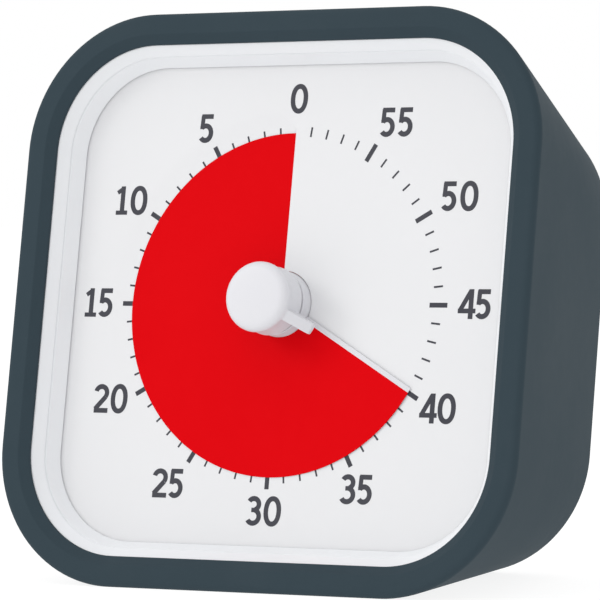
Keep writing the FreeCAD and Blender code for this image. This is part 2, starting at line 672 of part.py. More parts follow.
def output_wheel():
    """The slow wheel, gripped on the shaft by the clutch spring."""
    rear = OUTPUT_Y + OUTPUT_THICK
    wheel = gear(0, 0, OUTPUT_TEETH, OUTPUT_MODULE, ARBORS["third"][2], False, OUTPUT_Y, rear)
    return wheel.cut(rod(0, 0, SHAFT_RADIUS + RUNNING, OUTPUT_Y - 1, OUTPUT_Y + 2))


def clutch_spring():
    """The dished washer that presses the output wheel against the shaft's collar."""
    return tube(0, 0, SHAFT_RADIUS + 1.5, SHAFT_RADIUS + 0.2, COLLAR_REAR_Y, COLLAR_REAR_Y + 0.22)


def retaining_clip():
    """The ring that keeps the output wheel on the shaft."""
    return tube(0, 0, SHAFT_RADIUS + 1.0, SHAFT_RADIUS, CLIP_Y, CLIP_Y + 0.4)


def rotor_pinion():
    """The motor's pinion and staff."""
    x, z, direction = ARBORS["rotor"]
    front = FIRST_Y - 0.2
    pinion = gear(x, z, PINION_TEETH, MODULE, direction + 180, True, front, front + PINION_LENGTH)
    return joined([pinion, arbor_pin(x, z)])


def rotor_magnet():
    """The round magnet on the rotor's staff."""
    x, z, _ = ARBORS["rotor"]
    return tube(x, z, MAGNET_RADIUS, PIVOT_RADIUS, STATOR_Y - 0.2, STATOR_Y + STATOR_THICK + 0.2)


def stator_plate():
    """The iron plate whose poles ring the rotor, bent round to the coil's far end."""
    x, z, _ = ARBORS["rotor"]
    y0, y1 = STATOR_Y, STATOR_Y + STATOR_THICK
    bars = [
        box(x - 3.3, x + 3.7, y0, y1, z - 3.5, z + 3.5),
        box(x + 3.6, COIL_X + 2, y0, y1, z - 1.9, z + 1.5),
        box(x - 3.3, x - 1.1, y0, y1, COIL_FOOT_Z, z),
        box(x - 3.3, COIL_X + 2, y0, y1, COIL_FOOT_Z, COIL_FOOT_Z + 2.4),
    ]
    return joined(bars).cut(rod(x, z, MAGNET_RADIUS + AIR_GAP, y0 - 1, y1 + 1))


def coil_core():
    """The iron bar through the coil, lapped on the stator at both ends."""
    top = ARBORS["rotor"][1] + 1.5
    return box(COIL_X - CORE_HALF, COIL_X + CORE_HALF, CORE_Y, CORE_Y + CORE_THICK, COIL_FOOT_Z, top)


def around_core(side, reach, z0, z1):
    """A block round the core."""
    middle = CORE_Y + CORE_THICK / 2
    return box(COIL_X - side, COIL_X + side, middle - reach, middle + reach, z0, z1)


def coil_bobbin():
    """The plastic former: a sleeve on the core with a flange at each end."""
    sleeve = around_core(SLEEVE_SIDE, SLEEVE_DEEP, COIL_LOW_Z, COIL_TOP_Z)
    low = around_core(COIL_SIDE, COIL_DEEP, COIL_LOW_Z, COIL_LOW_Z + COIL_FLANGE)
    top = around_core(COIL_SIDE, COIL_DEEP, COIL_TOP_Z - COIL_FLANGE, COIL_TOP_Z)
    bore = around_core(CORE_HALF, CORE_THICK / 2, COIL_LOW_Z - 1, COIL_TOP_Z + 1)
    return joined([sleeve, low, top]).cut(bore)


def coil_winding():
    """The copper winding between the flanges."""
    inset = 0.2
    low, top = COIL_LOW_Z + COIL_FLANGE, COIL_TOP_Z - COIL_FLANGE
    block = around_core(COIL_SIDE - inset, COIL_DEEP - inset, low, top)
    return block.cut(around_core(SLEEVE_SIDE, SLEEVE_DEEP, COIL_LOW_Z, COIL_TOP_Z))


def pivot_holes(y0, y1):
    """Cutters for every staff's end."""
    return [rod(x, z, PIVOT_RADIUS + RUNNING, y0, y1) for x, z, _ in ARBORS.values()]


def move_screw_places():
    """Places of the four screws that close the movement."""
    across = (MOVE_LEFT + MOVE_POST_INSET, MOVE_RIGHT - MOVE_POST_INSET)
    upright = (MOVE_BOTTOM + MOVE_POST_INSET, MOVE_TOP - MOVE_POST_INSET)
    return [(x, z) for x in across for z in upright]


def movement_case_front():
    """The movement's tray: front wall, side walls, pivot holes and screw posts."""
    shell = box(MOVE_LEFT, MOVE_RIGHT, MOVE_FRONT_Y, MOVE_SPLIT_Y, MOVE_BOTTOM, MOVE_TOP)
    inner = box(MOVE_LEFT + MOVE_WALL, MOVE_RIGHT - MOVE_WALL, MOVE_INNER_Y, MOVE_SPLIT_Y + EPS,
                MOVE_BOTTOM + MOVE_WALL, MOVE_TOP - MOVE_WALL)
    posts = [rod(x, z, MOVE_POST_RADIUS, MOVE_INNER_Y - 0.1, MOVE_SPLIT_Y) for x, z in move_screw_places()]
    cuts = [rod(x, z, MOVE_SCREW_RADIUS, MOVE_INNER_Y + 0.5, MOVE_SPLIT_Y + EPS)
            for x, z in move_screw_places()]
    cuts.append(rod(0, 0, BUSHING_RADIUS, MOVE_FRONT_Y - EPS, MOVE_INNER_Y + EPS))
    cuts += pivot_holes(MOVE_INNER_Y - PIVOT_DEPTH, MOVE_INNER_Y + EPS)
    return joined([shell.cut(inner)] + posts).cut(cuts)


def movement_case_rear():
    """The movement's lid, with pivot holes and passages for the leads."""
    shell = box(MOVE_LEFT, MOVE_RIGHT, MOVE_SPLIT_Y, MOVE_REAR_Y, MOVE_BOTTOM, MOVE_TOP)
    inner = box(MOVE_LEFT + MOVE_WALL, MOVE_RIGHT - MOVE_WALL, MOVE_SPLIT_Y - EPS, MOVE_LID_Y,
                MOVE_BOTTOM + MOVE_WALL, MOVE_TOP - MOVE_WALL)
    posts = [rod(x, z, MOVE_POST_RADIUS, MOVE_SPLIT_Y, MOVE_LID_Y + 0.1) for x, z in move_screw_places()]
    cuts = []
    for x, z in move_screw_places():
        cuts.append(rod(x, z, MOVE_SCREW_RADIUS + 0.2, MOVE_SPLIT_Y - EPS, MOVE_REAR_Y + EPS))
        cuts.append(rod(x, z, MOVE_HEAD_RADIUS + FIT, MOVE_REAR_Y - MOVE_HEAD_SINK, MOVE_REAR_Y + EPS))
    cuts += pivot_holes(MOVE_LID_Y - EPS, MOVE_LID_Y + PIVOT_DEPTH)
    cuts.append(rod(0, 0, SHAFT_RADIUS * 0.6 + RUNNING, MOVE_LID_Y - EPS, MOVE_LID_Y + PIVOT_DEPTH))
    for x, z in lead_passages():
        cuts.append(rod(x, z, LEAD_RADIUS + 0.3, MOVE_LID_Y - EPS, MOVE_REAR_Y + EPS))
    return joined([shell.cut(inner)] + posts).cut(cuts)


def lead_passages():
    """Where the coil's and the contacts' leads leave the movement."""
    top = COIL_TOP_Z - COIL_FLANGE / 2
    coil = [(COIL_X - SLEEVE_SIDE, top), (COIL_X + SLEEVE_SIDE, top)]
    half = BLOCK_HALF / 2
    return coil + [(BLOCK_X - half, BLOCK_LEAD_Z), (BLOCK_X + half, BLOCK_LEAD_Z)]


def contact_cam():
    """The cam that closes the contacts when no time is left."""
    disc = rod(0, 0, CAM_RADIUS, CAM_Y, CAM_Y + CAM_THICK)
    lobe = box(-CAM_LOBE_HALF, CAM_LOBE_HALF, CAM_Y, CAM_Y + CAM_THICK, 0, CAM_LOBE)
    cam = disc.fuse(lobe).cut(rod(0, 0, SHAFT_RADIUS, CAM_Y - 1, CAM_Y + CAM_THICK + 1))
    return turned(cam.removeSplitter(), 180.0 + DISK_SHOWN)


def contact_block():
    """The moulding that holds the two leaf contacts."""
    block = box(BLOCK_X - BLOCK_HALF, BLOCK_X + BLOCK_HALF, BLOCK_Y, MOVE_LID_Y,
                BLOCK_FOOT_Z, BLOCK_LEAD_Z + 0.6)
    slots = [box(BLOCK_X - BLOCK_HALF, BLOCK_X + BLOCK_HALF + FIT, BLOCK_Y - FIT, BLOCK_Y + LEAF_WIDTH,
                 z, z + LEAF_THICK) for z in leaf_places()]
    return block.cut(slots)


def leaf_places():
    """Undersides of the two leaves."""
    upper = -CAM_LOBE - 0.35
    return [upper, upper - LEAF_DROP]


def contact_leaf(z, reach):
    """A springy strip from the block towards the cam."""
    return box(BLOCK_X - BLOCK_HALF, reach, BLOCK_Y, BLOCK_Y + LEAF_WIDTH, z, z + LEAF_THICK)


def shaft_bushing():
    """The threaded bush through the chassis."""
    return tube(0, 0, BUSHING_RADIUS, SHAFT_RADIUS + RUNNING, CHASSIS_Y - NUT_THICK, MOVE_INNER_Y)


def bushing_nut():
    """The hexagonal nut that clamps the movement to the chassis."""
    radius = NUT_FLATS / math.sqrt(3)
    points = [on_circle(radius, 60 * n, CHASSIS_Y - NUT_THICK) for n in range(7)]
    body = Part.Face(Part.makePolygon(points)).extrude(Vector(0, NUT_THICK, 0))
    return body.cut(rod(0, 0, BUSHING_RADIUS, 0, CHASSIS_Y + 1))


def chassis_plate():
    """The stiff plate behind the film that carries the movement."""
    rear = CHASSIS_Y + CHASSIS_THICK
    inset = COVER_WALL + HOUSING_WALL + 2 * FIT
    half = half_at(rear) - inset
    corner = corner_at(rear) - inset
    plate = rounded_block(CHASSIS_Y, half, corner, rear, half, corner)
    cuts = [rod(0, 0, BUSHING_RADIUS, CHASSIS_Y - EPS, rear + EPS)]
    for quarter in range(4):
        window = box(20, half - 6, CHASSIS_Y - EPS, rear + EPS, -9, 9)
        window.rotate(Vector(0, 0, 0), Vector(0, 1, 0), 90 * quarter)
        cuts.append(window)
    return plate.cut(cuts)


# ---- Battery, board and sounder ------------------------------------------------------------------
def along_x(x0, x1, radius):
    """A round bar on the battery's axis."""
    return Part.makeCylinder(radius, x1 - x0, Vector(x0, BATTERY_Y, BAY_Z), Vector(1, 0, 0))


def battery():
    """A round cell with a raised contact at one end."""
    left = -BATTERY_LENGTH / 2 - BATTERY_NUB / 2
    can = along_x(left + BATTERY_NUB, left + BATTERY_NUB + BATTERY_LENGTH, BATTERY_RADIUS)
    can = can.makeFillet(0.6, [e for e in can.Edges if e.BoundBox.XLength < 1e-6])
    return can.fuse(along_x(left, left + BATTERY_NUB + 0.1, 2.6))


def contact_sheet(side):
    """A contact plate against the bay's end, with a tab out through the bay's top."""
    x0, x1 = sorted((side * (BAY_HALF - SHEET_THICK), side * BAY_HALF))
    top = BAY_Z + BAY_HALF_HEIGHT
    sheet = box(x0, x1, BATTERY_Y - 4, BATTERY_Y + 4, BAY_Z - 6, top - 0.1)
    tab = box(x0, x1, BATTERY_Y - 1.8, BATTERY_Y + 1.8, top - 0.5, top + BAY_WALL + 2.4)
    return joined([sheet, tab])


def battery_plate():
    """The positive contact, with a pad that meets the cell."""
    pad = along_x(-BAY_HALF + 0.3, -BATTERY_LENGTH / 2 - BATTERY_NUB / 2, 3.2)
    return joined([contact_sheet(-1), pad])


def battery_spring():
    """The negative contact's conical spring: rings of wire, each set into the one before."""
    far = BAY_HALF - SHEET_THICK
    near = BATTERY_LENGTH / 2 + BATTERY_NUB / 2
    count = 3
    wire = (far - near) / (2 + 1.7 * (count - 1))
    rings = [contact_sheet(1)]
    for n in range(count):
        x = far + 0.05 - wire * (1 + 1.7 * n)
        bend = SPRING_RADIUS - SPRING_TAPER * n
        rings.append(Part.makeTorus(bend, wire, Vector(x, BATTERY_Y, BAY_Z), Vector(1, 0, 0)))
    return joined(rings)


def circuit_board():
    """The board on its posts, with holes for its screws."""
    board = box(SWITCH_X - 16.0, SWITCH_X + 7.5, BOARD_FRONT_Y, BOARD_REAR_Y, SWITCH_Z - 13, SWITCH_Z + 13)
    return board.cut([rod(x, z, 0.9, BOARD_FRONT_Y - 1, BOARD_REAR_Y + 1) for x, z in board_screw_places()])


def ic_chip():
    """A flat packaged chip with its legs."""
    x, z = SWITCH_X - 3, SWITCH_Z + 4
    body = box(x - 3, x + 3, BOARD_FRONT_Y - 1.6, BOARD_FRONT_Y - 0.3, z - 2, z + 2)
    legs = []
    for n in range(4):
        leg_x = x - 2.1 + 1.4 * n
        legs.append(box(leg_x - 0.2, leg_x + 0.2, BOARD_FRONT_Y - 0.4, BOARD_FRONT_Y, z - 3, z + 3))
    return joined([body] + legs)


def quartz_crystal():
    """A small metal can lying on the board."""
    radius, length = 1.0, 6.0
    foot = Vector(SWITCH_X - 1, BOARD_FRONT_Y - radius, SWITCH_Z - 6)
    can = Part.makeCylinder(radius, length, foot, Vector(1, 0, 0))
    return can.makeFillet(0.3, can.Edges[:1])


def switch_body():
    """The slide switch's frame on the back of the board, open to the rear for its lever."""
    half_x, half_z = 4.6, 2.2
    body = box(SWITCH_X - half_x, SWITCH_X + half_x, BOARD_REAR_Y, REAR_INNER_Y - 0.2,
               SWITCH_Z - half_z, SWITCH_Z + half_z)
    well = box(SWITCH_X - half_x + 0.5, SWITCH_X + half_x - 0.5, BOARD_REAR_Y + 0.8, REAR_INNER_Y,
               SWITCH_Z - half_z + 0.9, SWITCH_Z + half_z - 0.9)
    return body.cut(well)


def sound_switch():
    """The switch's lever, at the sound-on end of its slot."""
    x = SWITCH_X - SWITCH_TRAVEL / 2
    foot = box(x - 2.0, x + 2.0, BOARD_REAR_Y + 0.9, BOARD_REAR_Y + 1.9, SWITCH_Z - 1.2, SWITCH_Z + 1.2)
    stem = box(x - 1.6, x + 1.6, BOARD_REAR_Y + 1.8, HOUSING_REAR_Y + 0.9, SWITCH_Z - 1.1, SWITCH_Z + 1.1)
    grooves = []
    for n in (-1, 0, 1):
        left = x + 0.8 * n - 0.2
        grooves.append(box(left, left + 0.4, HOUSING_REAR_Y + 0.5, HOUSING_REAR_Y + 2,
                           SWITCH_Z - 2, SWITCH_Z + 2))
    return joined([foot, stem.cut(grooves)])


def buzzer_case():
    """The sounder's cup, with a step for its disc."""
    front = BOARD_REAR_Y - 0.8
    cup = rod(BUZZER_X, BUZZER_Z, BUZZER_RADIUS, front, REAR_INNER_Y)
    deep = rod(BUZZER_X, BUZZER_Z, BUZZER_RADIUS - 1.8, front + 0.8, REAR_INNER_Y + 1)
    seat = rod(BUZZER_X, BUZZER_Z, BUZZER_RADIUS - 0.8, REAR_INNER_Y - 1.4, REAR_INNER_Y + 1)
    return cup.cut([deep, seat])


def buzzer_disc():
    """The brass disc."""
    return rod(BUZZER_X, BUZZER_Z, BUZZER_RADIUS - 0.9, REAR_INNER_Y - 1.4, REAR_INNER_Y - 1.2)


def piezo_ceramic():
    """The ceramic layer on the disc."""
    return rod(BUZZER_X, BUZZER_Z, BUZZER_RADIUS - 3.6, REAR_INNER_Y - 1.6, REAR_INNER_Y - 1.4)


# ---- Fasteners -----------------------------------------------------------------------------------
def cross_screw(x, z, radius, head, head_y, tip_y):
    """A pan-head screw with a cross recess; its head is at the rear."""
    body = rod(x, z, head, head_y, head_y + 0.7 * head)
    body = body.makeFillet(head * 0.25, front_edges(body, head_y + 0.7 * head))
    arms = []
    for turn in (0, 90):
        arm = box(-head * 0.6, head * 0.6, head_y + head * 0.35, head_y + head, -head * 0.1, head * 0.1)
        arm.rotate(Vector(0, 0, 0), Vector(0, 1, 0), turn)
        arm.translate(Vector(x, 0, z))
        arms.append(arm)
    return joined([body, rod(x, z, radius, tip_y, head_y)]).cut(arms)


def case_screws():
    """The four screws through the housing's back."""
    radius = SCREW_RADIUS - THREAD_BITE
    return [cross_screw(x, z, radius, SCREW_HEAD_RADIUS, REAR_INNER_Y + 0.2, SPLIT_Y - 9)
            for x, z in corners_of(BOSS_OFFSET, BOSS_OFFSET)]


def movement_screws():
    """The four screws that hold the movement's lid."""
    head_y = MOVE_REAR_Y - MOVE_HEAD_SINK
    return [cross_screw(x, z, MOVE_SCREW_RADIUS, MOVE_HEAD_RADIUS, head_y, MOVE_INNER_Y + 1.5)
            for x, z in move_screw_places()]


def board_screws():
    """The two screws that hold the board."""
    screws = []
    for x, z in board_screw_places():
        screw = cross_screw(x, z, 0.7, 1.5, 0, -BOARD_THICK - 2.2)
        flipped = screw.mirror(Vector(0, 0, 0), Vector(0, 1, 0))
        flipped.translate(Vector(0, BOARD_FRONT_Y, 0))
        screws.append(flipped)
    return screws


def coil_route(x, z):
    """A coil lead: straight back past the bay, then up and on to the board."""
    bend_y, rise_y, rise = 20.5, 24.3, 3.5
    return [(x, MOVE_LID_Y - 0.1, z), (x, bend_y, z), (x, rise_y, z + rise), (x, BOARD_FRONT_Y, z + rise)]


def contact_route(x, z, climb):
    """A contact lead: back out of the movement, across to the board's edge and on to it."""
    across = SWITCH_X - 10.5
    return [(x, MOVE_LID_Y, z), (x, 19.8, z), (x + 4, 22.3, z + 0.6 * climb - 1.2),
            (SWITCH_X - 14, 24.4, z + climb - 1), (across, 25.2, z + climb),
            (across, BOARD_FRONT_Y, z + climb)]


def buzzer_route(z):
    """A sounder lead: forward from the cup, across and on to the board."""
    x, edge = BUZZER_X + 6, SWITCH_X - 14
    return [(x, BOARD_REAR_Y - 0.8, z), (x, 26.2, z), (edge, 25.6, z), (edge, BOARD_FRONT_Y, z)]


def battery_routes():
    """The battery's two leads, from the contacts' tabs to the board's lower edge."""
    low_z = SWITCH_Z - 10.5
    tab_z = BAY_Z + BAY_HALF_HEIGHT + BAY_WALL + 1.4
    tab_x = BAY_HALF - SHEET_THICK
    right, left = SWITCH_X + 5, SWITCH_X - 14.5
    negative = [(tab_x, BATTERY_Y, tab_z), (tab_x - 3, BATTERY_Y, tab_z),
                (right, BOARD_FRONT_Y - 3.5, low_z - 1), (right, BOARD_FRONT_Y, low_z - 1)]
    positive = [(-tab_x, BATTERY_Y, tab_z), (-BAY_HALF + 5, BATTERY_Y, tab_z), (-14, 23.5, tab_z + 0.8),
                (-5, 23.5, tab_z + 1.6), (left, 25.2, low_z), (left, BOARD_FRONT_Y, low_z)]
    return negative, positive


def wiring():
    """Each lead by name, from its contact to the board."""
    coil_start, coil_end, signal, common = lead_passages()
    negative, positive = battery_routes()
    routes = {
        "coil_lead_start": coil_route(*coil_start),
        "coil_lead_end": coil_route(*coil_end),
        "contact_lead_signal": contact_route(*signal, 9.5),
        "contact_lead_common": contact_route(*common, 7.0),
        "battery_lead_negative": negative,
        "battery_lead_positive": positive,
        "buzzer_lead_signal": buzzer_route(SWITCH_Z + 2),
        "buzzer_lead_common": buzzer_route(SWITCH_Z - 1),
    }
    return {name: lead(points, LEAD_RADIUS) for name, points in routes.items()}


def assembly():
    """Every node by name, in the case's own frame. Groups of fasteners are lists of solids."""
    upper_leaf, lower_leaf = leaf_places()
    nodes = {
        "silicone_cover": silicone_cover(),
        "front_housing": front_housing(),
        "rear_housing": rear_housing(),
        "battery_door": battery_door(),
        "dial_plate": dial_plate(),
        "red_disk": red_disk(),
        "disk_edge_strip": disk_edge_strip(),
        "disk_hub": disk_hub(),
        "knob": knob(),
        "drive_shaft": drive_shaft(),
        "chassis_plate": chassis_plate(),
        "shaft_bushing": shaft_bushing(),
        "bushing_nut": bushing_nut(),
        "movement_case_front": movement_case_front(),
        "movement_case_rear": movement_case_rear(),
        "output_wheel": output_wheel(),
        "third_wheel": third_wheel(),
        "second_wheel": second_wheel(),
        "first_wheel": first_wheel(),
        "rotor_pinion": rotor_pinion(),
        "rotor_magnet": rotor_magnet(),
        "stator_plate": stator_plate(),
        "coil_core": coil_core(),
        "coil_bobbin": coil_bobbin(),
        "coil_winding": coil_winding(),
        "clutch_spring": clutch_spring(),
        "retaining_clip": retaining_clip(),
        "contact_cam": contact_cam(),
        "contact_block": contact_block(),
        "signal_leaf": contact_leaf(upper_leaf, 3.0),
        "common_leaf": contact_leaf(lower_leaf, 1.5),
        "battery": battery(),
        "battery_plate": battery_plate(),
        "battery_spring": battery_spring(),
        "circuit_board": circuit_board(),
        "ic_chip": ic_chip(),
        "quartz_crystal": quartz_crystal(),
        "switch_body": switch_body(),
        "sound_switch": sound_switch(),
        "buzzer_case": buzzer_case(),
        "buzzer_disc": buzzer_disc(),
        "piezo_ceramic": piezo_ceramic(),
        "case_screws": case_screws(),
        "movement_screws": movement_screws(),
        "board_screws": board_screws(),
    }
    nodes.update(wiring())
    return nodes


def stand_placement(cover):
    """Lean the case back onto its base, then bring the middle of its footprint to the origin."""
    lean = Placement(Vector(0, 0, 0), Rotation(Vector(1, 0, 0), -LEAN))
    leaning = cover.copy()
    leaning.Placement = lean
    bounds = leaning.optimalBoundingBox(False, False)
    middle = Vector((bounds.XMin + bounds.XMax) / 2, (bounds.YMin + bounds.YMax) / 2, bounds.ZMin)
    return Placement(middle * -1, Rotation()) * lean


def main():
    """Build every node, stand it up and write it out."""
    os.makedirs("parts", exist_ok=True)
    nodes = assembly()
    place = stand_placement(nodes["silicone_cover"])
    for name, shape in nodes.items():
        whole = Part.makeCompound(shape) if isinstance(shape, list) else shape
        whole.Placement = place * whole.Placement
        whole.exportStep(os.path.join("parts", name + ".step"))
    print("origin", place.Base, "lean", LEAN, "nodes", len(nodes))


if __name__ == "__main__":
    main()
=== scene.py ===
"""Desk visual timer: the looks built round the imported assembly.

Shapes are worked out in the case's own millimetres: x to the right, h the height in front of the dial,
z up the dial, with the origin at the dial's centre. Clock angles run anticlockwise from twelve o'clock.
CaseFrame carries them to the assembly's own frame, where the case leans back on its base.
"""

import json
import logging
import math
from collections.abc import Sequence
from dataclasses import dataclass, field
from enum import Enum

import bpy
import numpy as np
from mathutils import Matrix, Vector


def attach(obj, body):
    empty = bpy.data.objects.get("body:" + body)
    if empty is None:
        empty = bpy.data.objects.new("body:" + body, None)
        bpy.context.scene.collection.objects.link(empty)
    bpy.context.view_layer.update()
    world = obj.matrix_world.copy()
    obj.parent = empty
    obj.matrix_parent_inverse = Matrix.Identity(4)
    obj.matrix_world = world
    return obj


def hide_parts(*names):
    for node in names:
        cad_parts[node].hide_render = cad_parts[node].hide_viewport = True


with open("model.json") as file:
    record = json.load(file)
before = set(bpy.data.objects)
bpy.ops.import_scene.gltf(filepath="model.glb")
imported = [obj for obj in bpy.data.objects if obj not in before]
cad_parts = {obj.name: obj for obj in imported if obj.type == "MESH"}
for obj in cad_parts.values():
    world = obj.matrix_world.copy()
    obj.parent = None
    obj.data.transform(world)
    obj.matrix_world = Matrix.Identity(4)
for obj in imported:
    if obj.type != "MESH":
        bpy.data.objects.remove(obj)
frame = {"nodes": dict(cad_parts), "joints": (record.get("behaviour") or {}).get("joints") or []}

LOG = logging.getLogger("timer")
MM = 0.001
Array = np.ndarray
Socket = bpy.types.NodeSocket


class Body(str, Enum):
    """The assembly's bodies that new pieces ride on."""

    CASE = "case"
    SPINDLE = "spindle"
    DISK = "disk"


class Axis(Enum):
    """Which way a brushed or drawn finish runs, in Object coordinates."""

    X = (0.05, 1.0, 1.0)
    Z = (1.0, 1.0, 0.05)


# ---- Case frame --------------------------------------------------------------------------------------
@dataclass(frozen=True)
class CaseFrame:
    """The leaning case's own axes, read from the knob's joint."""

    origin: Array
    front: Array
    up: Array

    @classmethod
    def from_joint(cls, name: str) -> "CaseFrame":
        """Reads the dial's centre and outward direction.

        Args:
            name: the joint that turns about the dial's axis.

        Returns:
            The frame, with up at right angles to the joint's axis.
        """
        joint = next(j for j in frame["joints"] if j["name"] == name)
        front = np.array(joint["axis"], float)
        return cls(np.array(joint["pos_m"], float), front, np.array([0.0, front[2], -front[1]]))

    def place(self, points: Array) -> Array:
        """Carries points (x, h, z) in millimetres to metres in the assembly's frame.

        Args:
            points: an array whose last axis is x, h, z.

        Returns:
            The points in metres: the origin plus x to the right, h along front and z along up.
        """
        right = np.array([1.0, 0.0, 0.0])
        return self.origin + MM * (points @ np.stack([right, self.front, self.up]))


# ---- Surfaces worked out on grids --------------------------------------------------------------------
@dataclass
class Surface:
    """Points with their four-sided and three-sided faces."""

    points: Array
    quads: Array
    triangles: Array = field(default_factory=lambda: np.zeros((0, 3), int))

    def volume(self) -> float:
        """Six times the signed volume, positive when the faces point outwards."""
        p = self.points
        q = self.quads
        fans = np.concatenate([q[:, [0, 1, 2]], q[:, [0, 2, 3]], self.triangles])
        return float(np.einsum("ij,ij->", p[fans[:, 0]], np.cross(p[fans[:, 1]], p[fans[:, 2]])))

    def outward(self) -> "Surface":
        """The surface with its faces turned outwards, where they aren't."""
        if self.volume() > 0:
            return self
        return Surface(self.points, self.quads[:, ::-1], self.triangles[:, ::-1])

    @staticmethod
    def together(parts: Sequence["Surface"]) -> "Surface":
        """Several surfaces as one.

        Args:
            parts: the surfaces.

        Returns:
            One surface that holds them all, each on its own points.
        """
        starts = np.cumsum([0] + [len(s.points) for s in parts[:-1]])
        return Surface(
            np.concatenate([s.points for s in parts]),
            np.concatenate([s.quads + n for s, n in zip(parts, starts)]),
            np.concatenate([s.triangles + n for s, n in zip(parts, starts)]),
        )


def grid_cells(rows: int, columns: int, wrap_rows: bool, wrap_columns: bool) -> Array:
    """Corners of the cells of a grid of points.

    Args:
        rows: number of rows.
        columns: number of columns.
        wrap_rows: whether the last row joins the first.
        wrap_columns: whether the last column joins the first.

    Returns:
        One row of four point numbers for each cell.
    """
    i, j = np.meshgrid(
        np.arange(rows if wrap_rows else rows - 1),
        np.arange(columns if wrap_columns else columns - 1),
        indexing="ij",
    )
    i, j = i.ravel(), j.ravel()
    down, across = (i + 1) % rows, (j + 1) % columns
    return np.stack([i * columns + j, down * columns + j, down * columns + across, i * columns + across], 1)


def ring_surface(grid: Array) -> Surface:
    """A closed surface whose rows and columns both come round to their start."""
    rows, columns = grid.shape[:2]
    return Surface(grid.reshape(-1, 3), grid_cells(rows, columns, True, True)).outward()


def capped_surface(grid: Array, first: Array, last: Array) -> Surface:
    """A closed surface with a pole at each end: columns come round, and each end row fans in to its pole.

    Args:
        grid: rows of points.
        first: the pole before the first row.
        last: the pole after the last row.

    Returns:
        The surface.
    """
    rows, columns = grid.shape[:2]
    around = np.arange(columns)
    ahead = (around + 1) % columns
    base = (rows - 1) * columns
    poles = rows * columns + np.zeros(columns, int)
    fans = np.concatenate(
        [np.stack([poles, around, ahead], 1), np.stack([poles + 1, base + ahead, base + around], 1)]
    )
    points = np.concatenate([grid.reshape(-1, 3), first[None], last[None]])
    return Surface(points, grid_cells(rows, columns, False, True), fans).outward()


def slab_surface(top: Array, bottom: Array, cells: Array) -> Surface:
    """A sheet with thickness. Every open side of the top's cells gets a wall down to the bottom.

    Args:
        top: the upper points, one row each.
        bottom: the point under each upper point.
        cells: the upper cells, as point numbers.

    Returns:
        The closed slab.
    """
    count = len(top)
    starts = cells.ravel()
    ends = np.roll(cells, -1, axis=1).ravel()
    is_open = ~np.isin(starts * count + ends, ends * count + starts)
    a, b = starts[is_open], ends[is_open]
    walls = np.stack([b, a, a + count, b + count], 1)
    faces = np.concatenate([cells, cells[:, ::-1] + count, walls])
    return Surface(np.concatenate([top, bottom]), faces).outward()


def smooth_step(t: Array) -> Array:
    """Rises from 0 to 1 with level ends: three t squared less two t cubed."""
    t = np.clip(t, 0.0, 1.0)
    return t * t * (3 - 2 * t)


def soft_max(a: Array, b: Array, reach: float) -> Array:
    """The larger of two, with a round join.

    It is their mean plus half the root of their difference squared and reach squared, less a term that
    keeps the join from swelling where the two are equal.

    Args:
        a: the first values.
        b: the second values.
        reach: how far from their crossing the join spreads.

    Returns:
        The joined values.
    """
    return 0.5 * (a + b + np.sqrt((a - b) ** 2 + reach**2)) - 0.25 * reach * np.exp(-np.abs(a - b) / reach)


def soft_min(a: Array, b: Array, reach: float) -> Array:
    """The smaller of two, with a round join: the soft larger, turned over."""
    return -soft_max(-a, -b, reach)


def clock_points(radius: Array, height: Array, clock: Array) -> Array:
    """Points (x, h, z) at a radius, height and clock angle in radians."""
    radius, height, clock = np.broadcast_arrays(radius, height, clock)
    return np.stack([-radius * np.sin(clock), height, radius * np.cos(clock)], -1)


ARC_COLUMNS = 28
STRAIGHT_COLUMNS = 10
FLAT_SUPPORT = 0.3  # how far beyond an arc the flat's first point lies, over the arc's radius


def rounded_square(half: Array, centre: Array) -> Array:
    """Outlines of squares with round corners.

    Each quarter is an arc about the corner's centre, from 0 to 90 degrees, and a straight run to the next
    corner. The other quarters are that one turned.

    Args:
        half: half the width of each outline.
        centre: distance of each outline's corner centres from both axes.

    Returns:
        Points (x, z), one row for each outline.
    """
    turn = np.linspace(0.0, math.pi / 2, ARC_COLUMNS + 1)
    run = np.linspace(1.0, -1.0, STRAIGHT_COLUMNS + 1)[1:-1]
    half, centre = half[:, None], centre[:, None]
    x = np.concatenate([centre + (half - centre) * np.cos(turn), centre * run], 1)
    z = np.concatenate([centre + (half - centre) * np.sin(turn), half + 0 * run], 1)
    return np.concatenate([np.stack(p, -1) for p in ((x, z), (-z, x), (-x, -z), (z, -x))], 1)


ProfileCorner = tuple[float, float, float, float]


